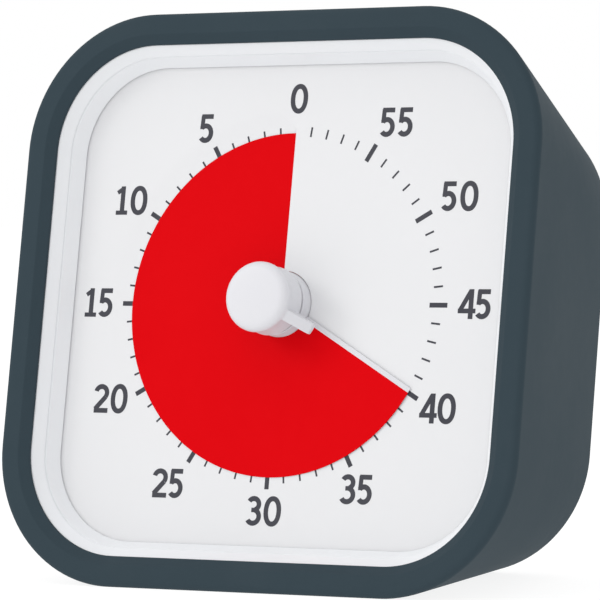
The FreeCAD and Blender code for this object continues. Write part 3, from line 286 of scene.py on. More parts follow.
def filleted_loop(corners: Sequence[ProfileCorner], steps: int = 6) -> Array:
    """A closed profile with every corner turned into an arc.

    The arc's centre lies on the corner's bisector, at the radius over the sine of half the corner's angle.
    A point just before and after each arc keeps the flats flat.

    Args:
        corners: (across, height, third, radius) in order; third is carried along unchanged.
        steps: parts to each arc.

    Returns:
        Points (across, height, third), in order.
    """
    given = np.array(corners, float)
    at, third, radius = given[:, :2], given[:, 2], given[:, 3:]
    before = np.roll(at, 1, axis=0) - at
    after = np.roll(at, -1, axis=0) - at
    before_length = np.linalg.norm(before, axis=1, keepdims=True)
    after_length = np.linalg.norm(after, axis=1, keepdims=True)
    before, after = before / before_length, after / after_length
    half_angle = np.arccos(np.clip(np.sum(before * after, 1, keepdims=True), -1, 1)) / 2
    reach = radius / np.tan(half_angle)
    middle = (before + after) / np.linalg.norm(before + after, axis=1, keepdims=True)
    centre = at + middle * radius / np.sin(half_angle)
    start = (at + before * reach - centre) / radius
    end = (at + after * reach - centre) / radius
    sweep = math.pi - 2 * half_angle[:, :, None]
    share = np.linspace(0.0, 1.0, steps + 1)[None, :, None]
    leaving = np.sin((1 - share) * sweep) * start[:, None]
    arriving = np.sin(share * sweep) * end[:, None]
    swung = (leaving + arriving) / np.sin(sweep)
    arc = centre[:, None] + radius[:, None] * swung
    support = FLAT_SUPPORT * radius
    lead_in = (at + before * np.minimum(reach + support, 0.5 * before_length))[:, None]
    lead_out = (at + after * np.minimum(reach + support, 0.5 * after_length))[:, None]
    path = np.concatenate([lead_in, arc, lead_out], 1)
    carried = np.broadcast_to(third[:, None, None], (*path.shape[:2], 1))
    return np.concatenate([path, carried], 2).reshape(-1, 3)


def square_ring(profile: Array) -> Surface:
    """A profile (half-width, height, corner centre) carried round a square with round corners."""
    outline = rounded_square(profile[:, 0], profile[:, 2])
    height = np.broadcast_to(profile[:, 1, None], outline.shape[:2])
    return ring_surface(np.stack([outline[..., 0], height, outline[..., 1]], -1))


def round_ring(profile: Array, columns: int, x: float = 0.0, z: float = 0.0) -> Surface:
    """A profile (radius, height, unused) carried round an axis that stands on the dial at (x, z)."""
    clock = np.linspace(0.0, 2 * math.pi, columns, endpoint=False)
    grid = clock_points(profile[:, 0, None], profile[:, 1, None], clock[None])
    return ring_surface(grid + np.array([x, 0.0, z]))


# ---- Pieces ------------------------------------------------------------------------------------------
@dataclass
class Maker:
    """Turns surfaces into dressed pieces that ride on the assembly's bodies."""

    case: CaseFrame
    finishes: dict[str, bpy.types.Material]

    def piece(
        self,
        name: str,
        surface: Surface,
        finish: str,
        body: Body,
        replaces: Sequence[str] = (),
        crease: float = 40.0,
    ) -> bpy.types.Object:
        """Makes one piece.

        Args:
            name: the piece's name.
            surface: its points in the case's millimetres, and its faces.
            finish: the name of its material.
            body: the body that it rides on.
            replaces: assembly nodes that it stands for.
            crease: the angle past which an edge is drawn sharp, in degrees.

        Returns:
            The piece, in place, at the origin.
        """
        # The case's axes (x, h, z) are left-handed, so the faces are turned round on the way.
        mesh = bpy.data.meshes.new(name)
        corners = np.concatenate([surface.quads[:, ::-1].ravel(), surface.triangles[:, ::-1].ravel()])
        sizes = np.concatenate([np.full(len(surface.quads), 4), np.full(len(surface.triangles), 3)])
        mesh.vertices.add(len(surface.points))
        mesh.vertices.foreach_set("co", self.case.place(surface.points).astype(np.float32).ravel())
        mesh.loops.add(len(corners))
        mesh.loops.foreach_set("vertex_index", corners.astype(np.int32))
        mesh.polygons.add(len(sizes))
        mesh.polygons.foreach_set("loop_start", (np.cumsum(sizes) - sizes).astype(np.int32))
        mesh.polygons.foreach_set("use_smooth", np.ones(len(sizes), bool))
        mesh.update(calc_edges=True)
        mesh.set_sharp_from_angle(angle=math.radians(crease))
        mesh.materials.append(self.finishes[finish])
        obj = bpy.data.objects.new(name, mesh)
        bpy.context.scene.collection.objects.link(obj)
        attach(obj, body.value)
        if replaces:
            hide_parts(*replaces)
        LOG.info("%s: %d faces on %s", name, len(sizes), body.value)
        return obj


# ---- Shader groups -----------------------------------------------------------------------------------
class GroupBuilder:
    """Lays out nodes in a tree, with short calls for the usual kinds."""

    def __init__(self, tree: bpy.types.NodeTree) -> None:
        """Keeps the tree that nodes go into."""
        self.tree = tree

    def node(self, kind: str, settings: dict | None = None, **inputs: object) -> bpy.types.Node:
        """Adds a node.

        Args:
            kind: the node's type.
            settings: properties of the node itself.
            inputs: socket names, with spaces as underscores, and their values or the sockets that feed them.

        Returns:
            The node.
        """
        made = self.tree.nodes.new(kind)
        for key, value in (settings or {}).items():
            setattr(made, key, value)
        for key, value in inputs.items():
            socket = made.inputs[int(key[1:])] if key[1:].isdigit() else made.inputs[key.replace("_", " ")]
            if isinstance(value, Socket):
                self.tree.links.new(value, socket)
            else:
                socket.default_value = value
        return made

    def math(self, operation: str, a: object, b: object = 0.0, c: object = 0.0) -> Socket:
        """One step of arithmetic."""
        return self.node("ShaderNodeMath", {"operation": operation}, _0=a, _1=b, _2=c).outputs[0]

    def noise(self, vector: object, scale: object, detail: float, roughness: float = 0.5) -> Socket:
        """A fractal noise value."""
        made = self.node(
            "ShaderNodeTexNoise", None, Vector=vector, Scale=scale, Detail=detail, Roughness=roughness
        )
        return made.outputs["Fac"]

    def scaled(self, vector: object, factors: object) -> Socket:
        """A vector multiplied axis by axis."""
        return self.node("ShaderNodeVectorMath", {"operation": "MULTIPLY"}, _0=vector, _1=factors).outputs[0]

    def ramp(self, value: object, low: float, high: float) -> Socket:
        """A value mapped from low to high onto 0 to 1, with level ends."""
        made = self.node(
            "ShaderNodeMapRange",
            {"interpolation_type": "SMOOTHSTEP"},
            Value=value,
            From_Min=low,
            From_Max=high,
        )
        return made.outputs["Result"]

    def mix(self, factor: object, a: object, b: object) -> Socket:
        """Two colours mixed."""
        made = self.node("ShaderNodeMix", {"data_type": "RGBA"}, _0=factor, _6=a, _7=b)
        return made.outputs[2]


def new_group(name: str, inputs: dict[str, str], outputs: dict[str, str]) -> tuple[GroupBuilder, dict, dict]:
    """Starts a shader node group.

    Args:
        name: the group's name.
        inputs: socket names and kinds coming in.
        outputs: socket names and kinds going out.

    Returns:
        A builder for its tree, its input sockets by name, and its output node's sockets by name.
    """
    tree = bpy.data.node_groups.new(name, "ShaderNodeTree")
    for direction, sockets in (("INPUT", inputs), ("OUTPUT", outputs)):
        for label, kind in sockets.items():
            tree.interface.new_socket(label, in_out=direction, socket_type="NodeSocket" + kind)
    source = tree.nodes.new("NodeGroupInput")
    sink = tree.nodes.new("NodeGroupOutput")
    return (
        GroupBuilder(tree),
        {label: source.outputs[label] for label in inputs},
        {label: sink.inputs[label] for label in outputs},
    )


class Effects:
    """The effects that several finishes share, each a node group built once."""

    def __init__(self) -> None:
        """Builds every group."""
        self.groups = {
            "grain": self.grain(),
            "tone": self.tone(),
            "dust": self.dust(),
            "strokes": self.strokes(),
            "wear": self.wear(),
        }

    def grain(self) -> bpy.types.NodeTree:
        """Moulded skin: fine noise with shallow pits, as a height from 0 to 1."""
        b, i, o = new_group("moulded_grain", {"Vector": "Vector", "Scale": "Float"}, {"Height": "Float"})
        fine = b.noise(i["Vector"], i["Scale"], 3.0, 0.6)
        cells = b.node("ShaderNodeTexVoronoi", {"feature": "F1"}, Vector=i["Vector"], Scale=i["Scale"])
        pits = b.ramp(cells.outputs["Distance"], 0.0, 0.6)
        b.tree.links.new(b.math("MULTIPLY_ADD", pits, 0.45, b.math("MULTIPLY", fine, 0.55)), o["Height"])
        return b.tree

    def tone(self) -> bpy.types.NodeTree:
        """Slow drift between two near shades, with finer mottling on top."""
        sockets = {"Vector": "Vector", "Scale": "Float", "Shade": "Color", "Other": "Color"}
        b, i, o = new_group("tone_drift", sockets, {"Color": "Color", "Drift": "Float"})
        slow = b.noise(i["Vector"], i["Scale"], 2.0)
        fast = b.noise(i["Vector"], b.math("MULTIPLY", i["Scale"], 9.0), 4.0, 0.65)
        drift = b.ramp(b.math("MULTIPLY_ADD", fast, 0.35, b.math("MULTIPLY", slow, 0.65)), 0.32, 0.68)
        b.tree.links.new(b.mix(drift, i["Shade"], i["Other"]), o["Color"])
        b.tree.links.new(drift, o["Drift"])
        return b.tree

    def dust(self) -> bpy.types.NodeTree:
        """Specks and a thin bloom that settle more on faces that look up."""
        b, i, o = new_group("settled_dust", {"Vector": "Vector", "Amount": "Float"}, {"Mask": "Float"})
        normal = b.node("ShaderNodeNewGeometry").outputs["Normal"]
        up = b.node("ShaderNodeSeparateXYZ", None, Vector=normal).outputs["Z"]
        bloom = b.ramp(b.noise(i["Vector"], 60.0, 5.0, 0.6), 0.42, 0.75)
        specks = b.ramp(b.noise(i["Vector"], 1400.0, 2.0), 0.69, 0.78)
        both = b.math("ADD", b.math("MULTIPLY", bloom, 0.45), b.math("MULTIPLY", specks, 0.55))
        share = b.math("MULTIPLY_ADD", b.ramp(up, -0.2, 0.9), 0.7, 0.3)
        b.tree.links.new(b.math("MULTIPLY", b.math("MULTIPLY", both, share), i["Amount"]), o["Mask"])
        return b.tree

    def strokes(self) -> bpy.types.NodeTree:
        """Drawn or brushed lines: noise stretched along one axis."""
        b, i, o = new_group(
            "drawn_strokes", {"Vector": "Vector", "Stretch": "Vector", "Scale": "Float"}, {"Height": "Float"}
        )
        along = b.scaled(i["Vector"], i["Stretch"])
        b.tree.links.new(b.noise(along, i["Scale"], 4.0, 0.7), o["Height"])
        return b.tree

    def wear(self) -> bpy.types.NodeTree:
        """Rubbed edges: where the surface turns outwards, broken up by noise."""
        b, i, o = new_group("rubbed_edges", {"Vector": "Vector", "Amount": "Float"}, {"Mask": "Float"})
        point = b.node("ShaderNodeNewGeometry").outputs["Pointiness"]
        patches = b.ramp(b.noise(i["Vector"], 220.0, 3.0), 0.4, 0.7)
        edge = b.math("MULTIPLY", b.ramp(point, 0.51, 0.6), patches)
        b.tree.links.new(b.math("MULTIPLY", edge, i["Amount"]), o["Mask"])
        return b.tree


# ---- Finishes ----------------------------------------------------------------------------------------
Colour = tuple[float, float, float]


@dataclass(frozen=True)
class Finish:
    """One material: two near shades, the gloss's range, and how strongly each shared effect shows."""

    shade: Colour
    other: Colour
    rough: tuple[float, float] = (0.4, 0.5)
    metallic: float = 0.0
    specular: float = 0.5
    tone_scale: float = 40.0
    grain_scale: float = 2500.0
    grain_depth: float = 0.01
    dust: float = 0.1
    dust_shade: Colour = (0.6, 0.6, 0.6)
    wear: float = 0.0
    wear_shade: Colour = (0.8, 0.8, 0.8)
    strokes: float = 0.0
    stroke_axis: Axis = Axis.X
    coat: float = 0.0
    coat_rough: float = 0.1
    subsurface: float = 0.0
    bounce: Colour | None = None

    def material(self, name: str, effects: Effects) -> bpy.types.Material:
        """Builds the material.

        Args:
            name: its name.
            effects: the shared node groups.

        Returns:
            The material.
        """
        made = bpy.data.materials.new(name)
        made.use_nodes = True
        made.node_tree.nodes.clear()
        b = GroupBuilder(made.node_tree)
        where = b.node("ShaderNodeTexCoord").outputs["Object"]

        def effect(label: str, **inputs: object) -> bpy.types.Node:
            """One shared group, placed in this material with this finish's values."""
            return b.node("ShaderNodeGroup", {"node_tree": effects.groups[label]}, **inputs)

        tone = effect(
            "tone", Vector=where, Scale=self.tone_scale, Shade=(*self.shade, 1.0), Other=(*self.other, 1.0)
        )
        colour, rough_drive = tone.outputs["Color"], tone.outputs["Drift"]
        height = effect("grain", Vector=where, Scale=self.grain_scale).outputs["Height"]
        if self.strokes:
            lines = effect("strokes", Vector=where, Stretch=self.stroke_axis.value, Scale=1800.0)
            drawn = lines.outputs["Height"]
            height = b.math("MULTIPLY_ADD", drawn, self.strokes, height)
            rough_drive = b.math("MULTIPLY_ADD", drawn, 0.5, b.math("MULTIPLY", rough_drive, 0.5))
        if self.wear:
            mask = effect("wear", Vector=where, Amount=self.wear).outputs["Mask"]
            colour = b.mix(mask, colour, (*self.wear_shade, 1.0))
        dust = effect("dust", Vector=where, Amount=self.dust).outputs["Mask"]
        colour = b.mix(dust, colour, (*self.dust_shade, 1.0))
        if self.bounce:
            second = b.node("ShaderNodeLightPath").outputs["Is Diffuse Ray"]
            colour = b.mix(second, colour, (*self.bounce, 1.0))
        low, high = self.rough
        rough = b.math("MULTIPLY_ADD", rough_drive, high - low, b.math("MULTIPLY_ADD", dust, 0.3, low))
        bump = b.node("ShaderNodeBump", None, Strength=1.0, Distance=self.grain_depth * MM, Height=height)
        shader = b.node(
            "ShaderNodeBsdfPrincipled",
            None,
            Base_Color=colour,
            Roughness=rough,
            Metallic=self.metallic,
            Specular_IOR_Level=self.specular,
            Coat_Weight=self.coat,
            Coat_Roughness=self.coat_rough,
            Subsurface_Weight=self.subsurface,
            Subsurface_Scale=0.002,
            Normal=bump.outputs["Normal"],
        )
        b.node("ShaderNodeOutputMaterial", None, Surface=shader.outputs[0])
        return made


FINISHES: dict[str, Finish] = {
    "slate_silicone": Finish(
        shade=(0.0305, 0.0495, 0.062),
        other=(0.034, 0.0535, 0.0665),
        rough=(0.65, 0.75),
        specular=0.12,
        grain_depth=0.006,
        grain_scale=3200.0,
        dust=0.02,
        wear=0.1,
        wear_shade=(0.07, 0.09, 0.11),
    ),
    "white_shell": Finish(
        shade=(0.82, 0.835, 0.86),
        other=(0.835, 0.85, 0.87),
        rough=(0.34, 0.42),
        grain_depth=0.004,
        dust=0.04,
    ),
    "knob_white": Finish(
        shade=(0.7, 0.7, 0.735),
        other=(0.715, 0.715, 0.745),
        rough=(0.36, 0.44),
        grain_depth=0.004,
        dust=0.03,
    ),
    "dial_card": Finish(
        shade=(0.762, 0.765, 0.78),
        other=(0.772, 0.775, 0.79),
        rough=(0.48, 0.55),
        specular=0.35,
        grain_depth=0.002,
        dust=0.02,
    ),
    "printed_ink": Finish(
        shade=(0.046, 0.047, 0.06),
        other=(0.06, 0.061, 0.073),
        rough=(0.4, 0.5),
        specular=0.2,
        grain_depth=0.002,
        dust=0.01,
        dust_shade=(0.3, 0.3, 0.32),
    ),
    "red_film": Finish(
        shade=(0.69, 0.0, 0.003),
        other=(0.705, 0.001, 0.004),
        rough=(0.45, 0.52),
        specular=0.03,
        grain_depth=0.002,
        grain_scale=1800.0,
        dust=0.005,
        dust_shade=(0.8, 0.1, 0.1),
        bounce=(0.5, 0.42, 0.46),
    ),
    "grey_moulding": Finish(shade=(0.33, 0.34, 0.36), other=(0.38, 0.39, 0.41), grain_depth=0.008),
    "black_moulding": Finish(shade=(0.05, 0.05, 0.054), other=(0.075, 0.075, 0.08), grain_depth=0.008),
    "gear_acetal": Finish(
        shade=(0.76, 0.73, 0.64),
        other=(0.8, 0.78, 0.7),
        rough=(0.28, 0.36),
        grain_depth=0.003,
        subsurface=0.05,
    ),
    "turned_steel": Finish(
        shade=(0.5, 0.5, 0.51),
        other=(0.6, 0.6, 0.6),
        rough=(0.22, 0.4),
        metallic=1.0,
        strokes=0.8,
        dust=0.03,
    ),
    "plated_spring": Finish(
        shade=(0.62, 0.62, 0.6),
        other=(0.7, 0.69, 0.67),
        rough=(0.12, 0.25),
        metallic=1.0,
        strokes=0.4,
        dust=0.03,
    ),
    "turned_brass": Finish(
        shade=(0.6, 0.42, 0.16),
        other=(0.7, 0.52, 0.24),
        rough=(0.2, 0.38),
        metallic=1.0,
        strokes=0.6,
        dust=0.04,
    ),
    "punched_iron": Finish(
        shade=(0.2, 0.2, 0.21),
        other=(0.3, 0.29, 0.28),
        rough=(0.35, 0.6),
        metallic=1.0,
        grain_depth=0.01,
    ),
    "pressed_magnet": Finish(
        shade=(0.07, 0.07, 0.075),
        other=(0.12, 0.12, 0.125),
        rough=(0.5, 0.7),
        metallic=0.6,
        grain_depth=0.015,
    ),
    "copper_winding": Finish(
        shade=(0.5, 0.17, 0.06),
        other=(0.66, 0.28, 0.12),
        rough=(0.2, 0.4),
        metallic=0.9,
        strokes=2.5,
        stroke_axis=Axis.Z,
        grain_depth=0.03,
    ),
    "blue_cam": Finish(shade=(0.06, 0.13, 0.34), other=(0.08, 0.17, 0.42), rough=(0.35, 0.45)),
    "cell_sleeve": Finish(
        shade=(0.05, 0.055, 0.06),
        other=(0.1, 0.105, 0.11),
        rough=(0.2, 0.3),
        coat=0.4,
        tone_scale=120.0,
    ),
    "board_mask": Finish(
        shade=(0.01, 0.12, 0.045),
        other=(0.03, 0.22, 0.09),
        rough=(0.25, 0.35),
        tone_scale=400.0,
        coat=0.3,
    ),
    "chip_epoxy": Finish(shade=(0.02, 0.02, 0.022), other=(0.035, 0.035, 0.036), rough=(0.55, 0.7)),
    "silvered_ceramic": Finish(
        shade=(0.66, 0.64, 0.6),
        other=(0.78, 0.76, 0.72),
        rough=(0.3, 0.5),
        metallic=0.5,
        grain_depth=0.01,
    ),
    "switch_black": Finish(
        shade=(0.025, 0.025, 0.027),
        other=(0.04, 0.04, 0.042),
        rough=(0.3, 0.4),
        wear=0.3,
    ),
    "red_wire": Finish(
        shade=(0.45, 0.012, 0.012),
        other=(0.6, 0.03, 0.025),
        rough=(0.25, 0.35),
        coat=0.2,
    ),
    "black_wire": Finish(
        shade=(0.018, 0.018, 0.019),
        other=(0.03, 0.03, 0.032),
        rough=(0.25, 0.35),
        coat=0.2,
    ),
}

NODE_FINISHES: dict[str, tuple[str, ...]] = {
    "white_shell": ("rear_housing", "battery_door"),
    "grey_moulding": ("chassis_plate", "buzzer_case", "contact_block"),
    "black_moulding": ("movement_case_front", "movement_case_rear", "switch_body"),
    "gear_acetal": (
        "output_wheel",
        "third_wheel",
        "second_wheel",
        "first_wheel",
        "rotor_pinion",
        "coil_bobbin",
    ),
    "turned_steel": (
        "drive_shaft",
        "clutch_spring",
        "retaining_clip",
        "case_screws",
        "movement_screws",
        "board_screws",
        "quartz_crystal",
    ),
    "plated_spring": ("battery_spring", "battery_plate"),
    "turned_brass": ("shaft_bushing", "bushing_nut", "buzzer_disc", "signal_leaf", "common_leaf"),
    "punched_iron": ("stator_plate", "coil_core"),
    "pressed_magnet": ("rotor_magnet",),
    "copper_winding": ("coil_winding",),
    "blue_cam": ("contact_cam",),
    "cell_sleeve": ("battery",),
    "board_mask": ("circuit_board",),
    "chip_epoxy": ("ic_chip",),
    "silvered_ceramic": ("piezo_ceramic",),
    "switch_black": ("sound_switch",),
    "red_wire": ("battery_lead_positive", "coil_lead_start", "buzzer_lead_signal", "contact_lead_signal"),
    "black_wire": ("battery_lead_negative", "coil_lead_end", "buzzer_lead_common", "contact_lead_common"),
}


# ---- Case --------------------------------------------------------------------------------------------
@dataclass(frozen=True)
class CaseShape:
    """The case's outer form, which tapers towards the back."""

    front_half: float = 45.8
    rear_half: float = 37.3
    front_centre: float = 23.8
    rear_centre: float = 18.3
    rim: float = 6.3
    rear: float = 37.2
    cover_wall: float = 1.8
    opening_half: float = 40.7
    opening_centre: float = 23.8
    dial_half: float = 37.9
    dial_tuck: float = 0.8

    def share(self, height: float) -> float:
        """How far back a height is, from 0 at the rim to 1 at the back."""
        return (self.rim - height) / (self.rim + self.rear)

    def half(self, height: float) -> float:
        """Half the cover's width at a height."""
        return self.front_half + self.share(height) * (self.rear_half - self.front_half)

    def centre(self, height: float) -> float:
        """Distance of the corner centres from the axes at a height."""
        return self.front_centre + self.share(height) * (self.rear_centre - self.front_centre)


@dataclass
class SoftCover:
    """The soft square sleeve: bevelled front rim, tapering walls and a lip round the back."""

    shape: CaseShape
    bevel_width: float = 1.5
    bevel_depth: float = 1.1
    front_lip: float = 1.7
    rear_lip: float = 1.8
    rear_reach: float = 5.0
    edge_round: float = 1.0
    small_round: float = 0.22

    def surface(self) -> Surface:
        """The sleeve as one closed profile carried round the case.

        The profile runs down the outside, round the back lip, up the inside and over the bevelled rim.

        Returns:
            The sleeve's surface.
        """
        s = self.shape
        inner_front = s.rim - self.front_lip
        inner_rear = -s.rear + self.rear_lip
        back_half = s.rear_half - s.cover_wall - self.rear_reach
        mouth_foot = s.rim - self.bevel_depth
        r = self.small_round
        profile = filleted_loop(
            [
                (s.opening_half + self.bevel_width, s.rim, s.opening_centre, 0.4),
                (s.front_half, s.rim, s.front_centre, self.edge_round),
                (s.rear_half, -s.rear, s.rear_centre, self.edge_round),
                (back_half, -s.rear, s.rear_centre, 0.6),
                (back_half, inner_rear, s.rear_centre, r),
                (s.half(inner_rear) - s.cover_wall, inner_rear, s.centre(inner_rear), r),
                (s.half(inner_front) - s.cover_wall, inner_front, s.centre(inner_front), r),
                (s.opening_half, inner_front, s.opening_centre, r),
                (s.opening_half, mouth_foot, s.opening_centre, r),
            ]
        )
        return square_ring(profile)

    def build(self, maker: Maker) -> None:
        """Makes the sleeve."""
        maker.piece("soft_cover", self.surface(), "slate_silicone", Body.CASE, ["silicone_cover"])


@dataclass
class FrontShell:
    """The white shell: two sloping walls down to the dial, a fine line at their crease, and screw bosses."""

    shape: CaseShape
    front: float = 4.6
    split: float = -22.0
    wall: float = 2.0
    chassis: float = -3.2
    crease_half: float = 39.2
    crease_height: float = 2.8
    line_depth: float = 0.32
    line_width: float = 0.18
    gap: float = 0.28
    gap_depth: float = 0.5
    boss_radius: float = 2.8
    boss_bore: float = 1.1
    boss_length: float = 14.0
    boss_offset: float = 28.04

    def surface(self) -> Surface:
        """The shell as one closed profile carried round the case, with a tube for each boss."""
        s = self.shape
        c = s.opening_centre
        outer = s.half(self.front) - s.cover_wall
        pocket = s.dial_half + s.dial_tuck + 0.1
        inset = s.cover_wall + self.wall
        crease, height = self.crease_half, self.crease_height
        profile = filleted_loop(
            [
                (s.opening_half - 0.05, self.front - 0.02, c, 0.12),
                (outer, self.front - 0.02, s.centre(self.front), 0.3),
                (s.half(self.split) - s.cover_wall, self.split, s.centre(self.split), 0.1),
                (s.half(self.split) - inset, self.split, s.centre(self.split), 0.1),
                (s.half(self.chassis) - inset, self.chassis, s.centre(self.chassis), 0.2),
                (pocket, self.chassis, c, 0.1),
                (pocket, 0.02, c, 0.05),
                (s.dial_half + self.gap_depth, 0.02, c, 0.02),
                (s.dial_half + self.gap_depth, self.gap, c, 0.02),
                (s.dial_half + 0.02, self.gap, c, 0.04),
                (crease - 0.06, height - self.line_width, c, 0.04),
                (crease + self.line_depth, height, c, 0.04),
                (crease + 0.06, height + self.line_width, c, 0.04),
            ],
            5,
        )
        bosses = [self.boss(x * self.boss_offset, z * self.boss_offset) for x in (-1, 1) for z in (-1, 1)]
        return Surface.together([square_ring(profile), *bosses])

    def boss(self, x: float, z: float) -> Surface:
        """One screw boss: a tube's profile carried round its axis."""
        top = self.split + self.boss_length
        sides = [(self.boss_bore, self.split), (self.boss_radius, self.split), (self.boss_radius, top)]
        profile = filleted_loop([(r, h, 0.0, 0.1) for r, h in [*sides, (self.boss_bore, top)]], 3)
        return round_ring(profile, 40, x, z)

    def build(self, maker: Maker) -> None:
        """Makes the shell."""
        surface = self.surface()
        maker.piece("front_shell", surface, "white_shell", Body.CASE, ["front_housing"], 30.0)


# ---- Dial --------------------------------------------------------------------------------------------
@dataclass
class Dial:
    """The numbered plate, whose left half sinks towards the slit at twelve o'clock, under the right half."""

    shape: CaseShape
    thick: float = 0.2
    step: float = 0.4
    hole: float = 5.3
    slit_end: float = 27.6
    blend_end: float = 31.5
    slit_angle: float = 0.25
    fold_start: float = 0.004
    fold_spread: float = 0.06
    columns: int = 420
    crowding: float = 0.9

    def ramp(self, clock: Array) -> Array:
        """Height of the ramp: a step down at twelve o'clock, rising evenly to nothing at six."""
        return -self.step * np.clip(1.0 - clock / math.pi, 0.0, 1.0)

    def height(self, radius: Array, clock: Array) -> Array:
        """Height of the dial's face.

        Inside the slit's end it is the ramp. Beyond it the ramp fades out with the radius by a smooth step,
        and the drop at twelve o'clock widens from nothing into a soft fold.

        Args:
            radius: distance from the centre.
            clock: clock angle in radians, from 0 to a full turn.

        Returns:
            The heights.
        """
        beyond = np.clip(radius - self.slit_end, 0.0, None)
        fade = 1.0 - smooth_step(beyond / (self.blend_end - self.slit_end))
        fold = self.fold_start + self.fold_spread * beyond
        past = np.where(clock > math.pi, clock - 2 * math.pi, clock)
        near = smooth_step(0.5 + past / (2 * fold))
        folded = np.where(np.abs(past) < fold, -self.step * near, self.ramp(clock))
        return np.where(beyond > 0, fade * folded, self.ramp(clock))

    def edge_reach(self, clock: Array) -> Array:
        """Distance to the plate's outline along each clock angle.

        Args:
            clock: clock angles in radians.

        Returns:
            The distance to the flat side, or to the corner's arc where the ray meets that first.
        """
        half = self.shape.dial_half + self.shape.dial_tuck
        centre = self.shape.opening_centre
        across, up = np.abs(np.sin(clock)), np.abs(np.cos(clock))
        side = half / np.maximum(across, up)
        along = centre * (across + up)
        arc = along + np.sqrt(np.clip(along**2 - 2 * centre**2 + (half - centre) ** 2, 0.0, None))
        return np.where(side * np.minimum(across, up) > centre, arc, side)

    def surface(self) -> Surface:
        """The plate as rings round the hole that turn into the square outline, cut along the slit.

        The columns crowd towards the slit, where the face folds.

        Returns:
            The plate's surface.
        """
        t = np.linspace(0.0, 1.0, self.columns)
        crowd = t - self.crowding * np.sin(2 * math.pi * t) / (2 * math.pi)
        clock = (2 * math.pi - math.radians(self.slit_angle)) * crowd
        inner = np.concatenate([[self.hole, self.hole + 0.15], np.linspace(7.0, self.slit_end, 14)])
        blend = np.linspace(self.slit_end, self.blend_end, 15)[1:]
        rings = np.concatenate([inner, blend])
        square = np.linspace(0.0, 1.0, 7)[1:, None]
        out = self.blend_end + square * (self.edge_reach(clock)[None] - self.blend_end)
        radius = np.concatenate([np.broadcast_to(rings[:, None], (len(rings), len(clock))), out])
        angle = np.broadcast_to(clock[None], radius.shape)
        height = self.height(radius, angle)
        top = clock_points(radius, height, angle).reshape(-1, 3)
        bottom = clock_points(radius, height - self.thick, angle).reshape(-1, 3)
        cells = grid_cells(len(radius), len(clock), False, True)
        row, column = np.divmod(np.arange(len(cells)), len(clock))
        in_slit = (column == len(clock) - 1) & (row < len(inner) - 1)
        return slab_surface(top, bottom, cells[~in_slit])

    def build(self, maker: Maker) -> None:
        """Makes the plate."""
        surface = self.surface()
        maker.piece("dial_plate_face", surface, "dial_card", Body.CASE, ["dial_plate"], 50.0)


@dataclass(frozen=True)
class Line:
    """A straight stroke between two points of a figure, in millimetres from its foot's middle."""

    x0: float
    z0: float
    x1: float
    z1: float
    width: float = 0.78

    def centreline(self) -> tuple[Array, Array]:
        """Points along the stroke, and the direction across it at each."""
        share = np.linspace(0.0, 1.0, 8)[:, None]
        start, end = np.array([self.x0, self.z0]), np.array([self.x1, self.z1])
        along = (end - start) / np.linalg.norm(end - start)
        return start + share * (end - start), np.broadcast_to([-along[1], along[0]], (8, 2))


@dataclass(frozen=True)
class Bowl:
    """A curved stroke: part of an oval, from one angle to another, anticlockwise from the right."""

    x: float
    z: float
    across: float
    up: float
    start: float
    end: float
    width: float = 0.8
    squareness: float = 1.0

    def centreline(self) -> tuple[Array, Array]:
        """Points round the oval, and the direction across the stroke at each.

        The cosine and the sine are raised to a power that fills the oval's shoulders.

        Returns:
            The points and the directions.
        """
        turn = np.radians(np.linspace(self.start, self.end, 49))
        c, s = np.cos(turn), np.sin(turn)
        x = self.x + self.across * np.sign(c) * np.abs(c) ** self.squareness
        z = self.z + self.up * np.sign(s) * np.abs(s) ** self.squareness
        across = np.stack([c * self.up, s * self.across], -1)
        return np.stack([x, z], -1), across / np.linalg.norm(across, axis=1, keepdims=True)


@dataclass(frozen=True)
class Figure:
    """A figure's strokes, its left edge, and the step to the next figure."""

    strokes: tuple[Line | Bowl, ...]
    left: float
    advance: float


FIGURES: dict[str, Figure] = {
    "0": Figure(
        strokes=(Bowl(0, 2.3, 1.14, 1.97, 0, 360, 0.8, 0.92),),
        left=-1.54,
        advance=3.2,
    ),
    "1": Figure(
        strokes=(
            Line(0.2, 0.3, 0.2, 4.6, 0.8),
            Line(0.3, 4.3, -0.8, 3.55, 0.68),
            Line(-0.9, 0.34, 1.2, 0.34, 0.68),
        ),
        left=-0.9,
        advance=2.6,
    ),
    "2": Figure(
        strokes=(
            Bowl(-0.1, 3.2, 1.0, 1.0, 165, -38),
            Line(0.7, 2.55, -1.1, 0.6, 0.8),
            Line(-1.3, 0.38, 1.25, 0.38, 0.76),
        ),
        left=-1.3,
        advance=3.0,
    ),
    "3": Figure(
        strokes=(
            Bowl(-0.2, 3.32, 0.92, 0.89, 150, -75),
            Bowl(-0.2, 1.42, 1.05, 1.05, 80, -148),
            Line(-0.55, 2.43, 0.05, 2.43, 0.7),
        ),
        left=-1.3,
        advance=2.95,
    ),
    "4": Figure(
        strokes=(
            Line(0.66, 0, 0.66, 4.6, 0.8),
            Line(0.55, 4.35, -1.15, 1.3, 0.74),
            Line(-1.5, 1.24, 1.5, 1.24, 0.72),
        ),
        left=-1.5,
        advance=3.08,
    ),
    "5": Figure(
        strokes=(
            Line(-1.0, 4.22, 1.1, 4.22, 0.76),
            Line(-0.72, 4.4, -0.82, 2.2, 0.72),
            Bowl(-0.16, 1.55, 1.0, 1.17, 138, -140),
        ),
        left=-1.2,
        advance=3.1,
    ),
}


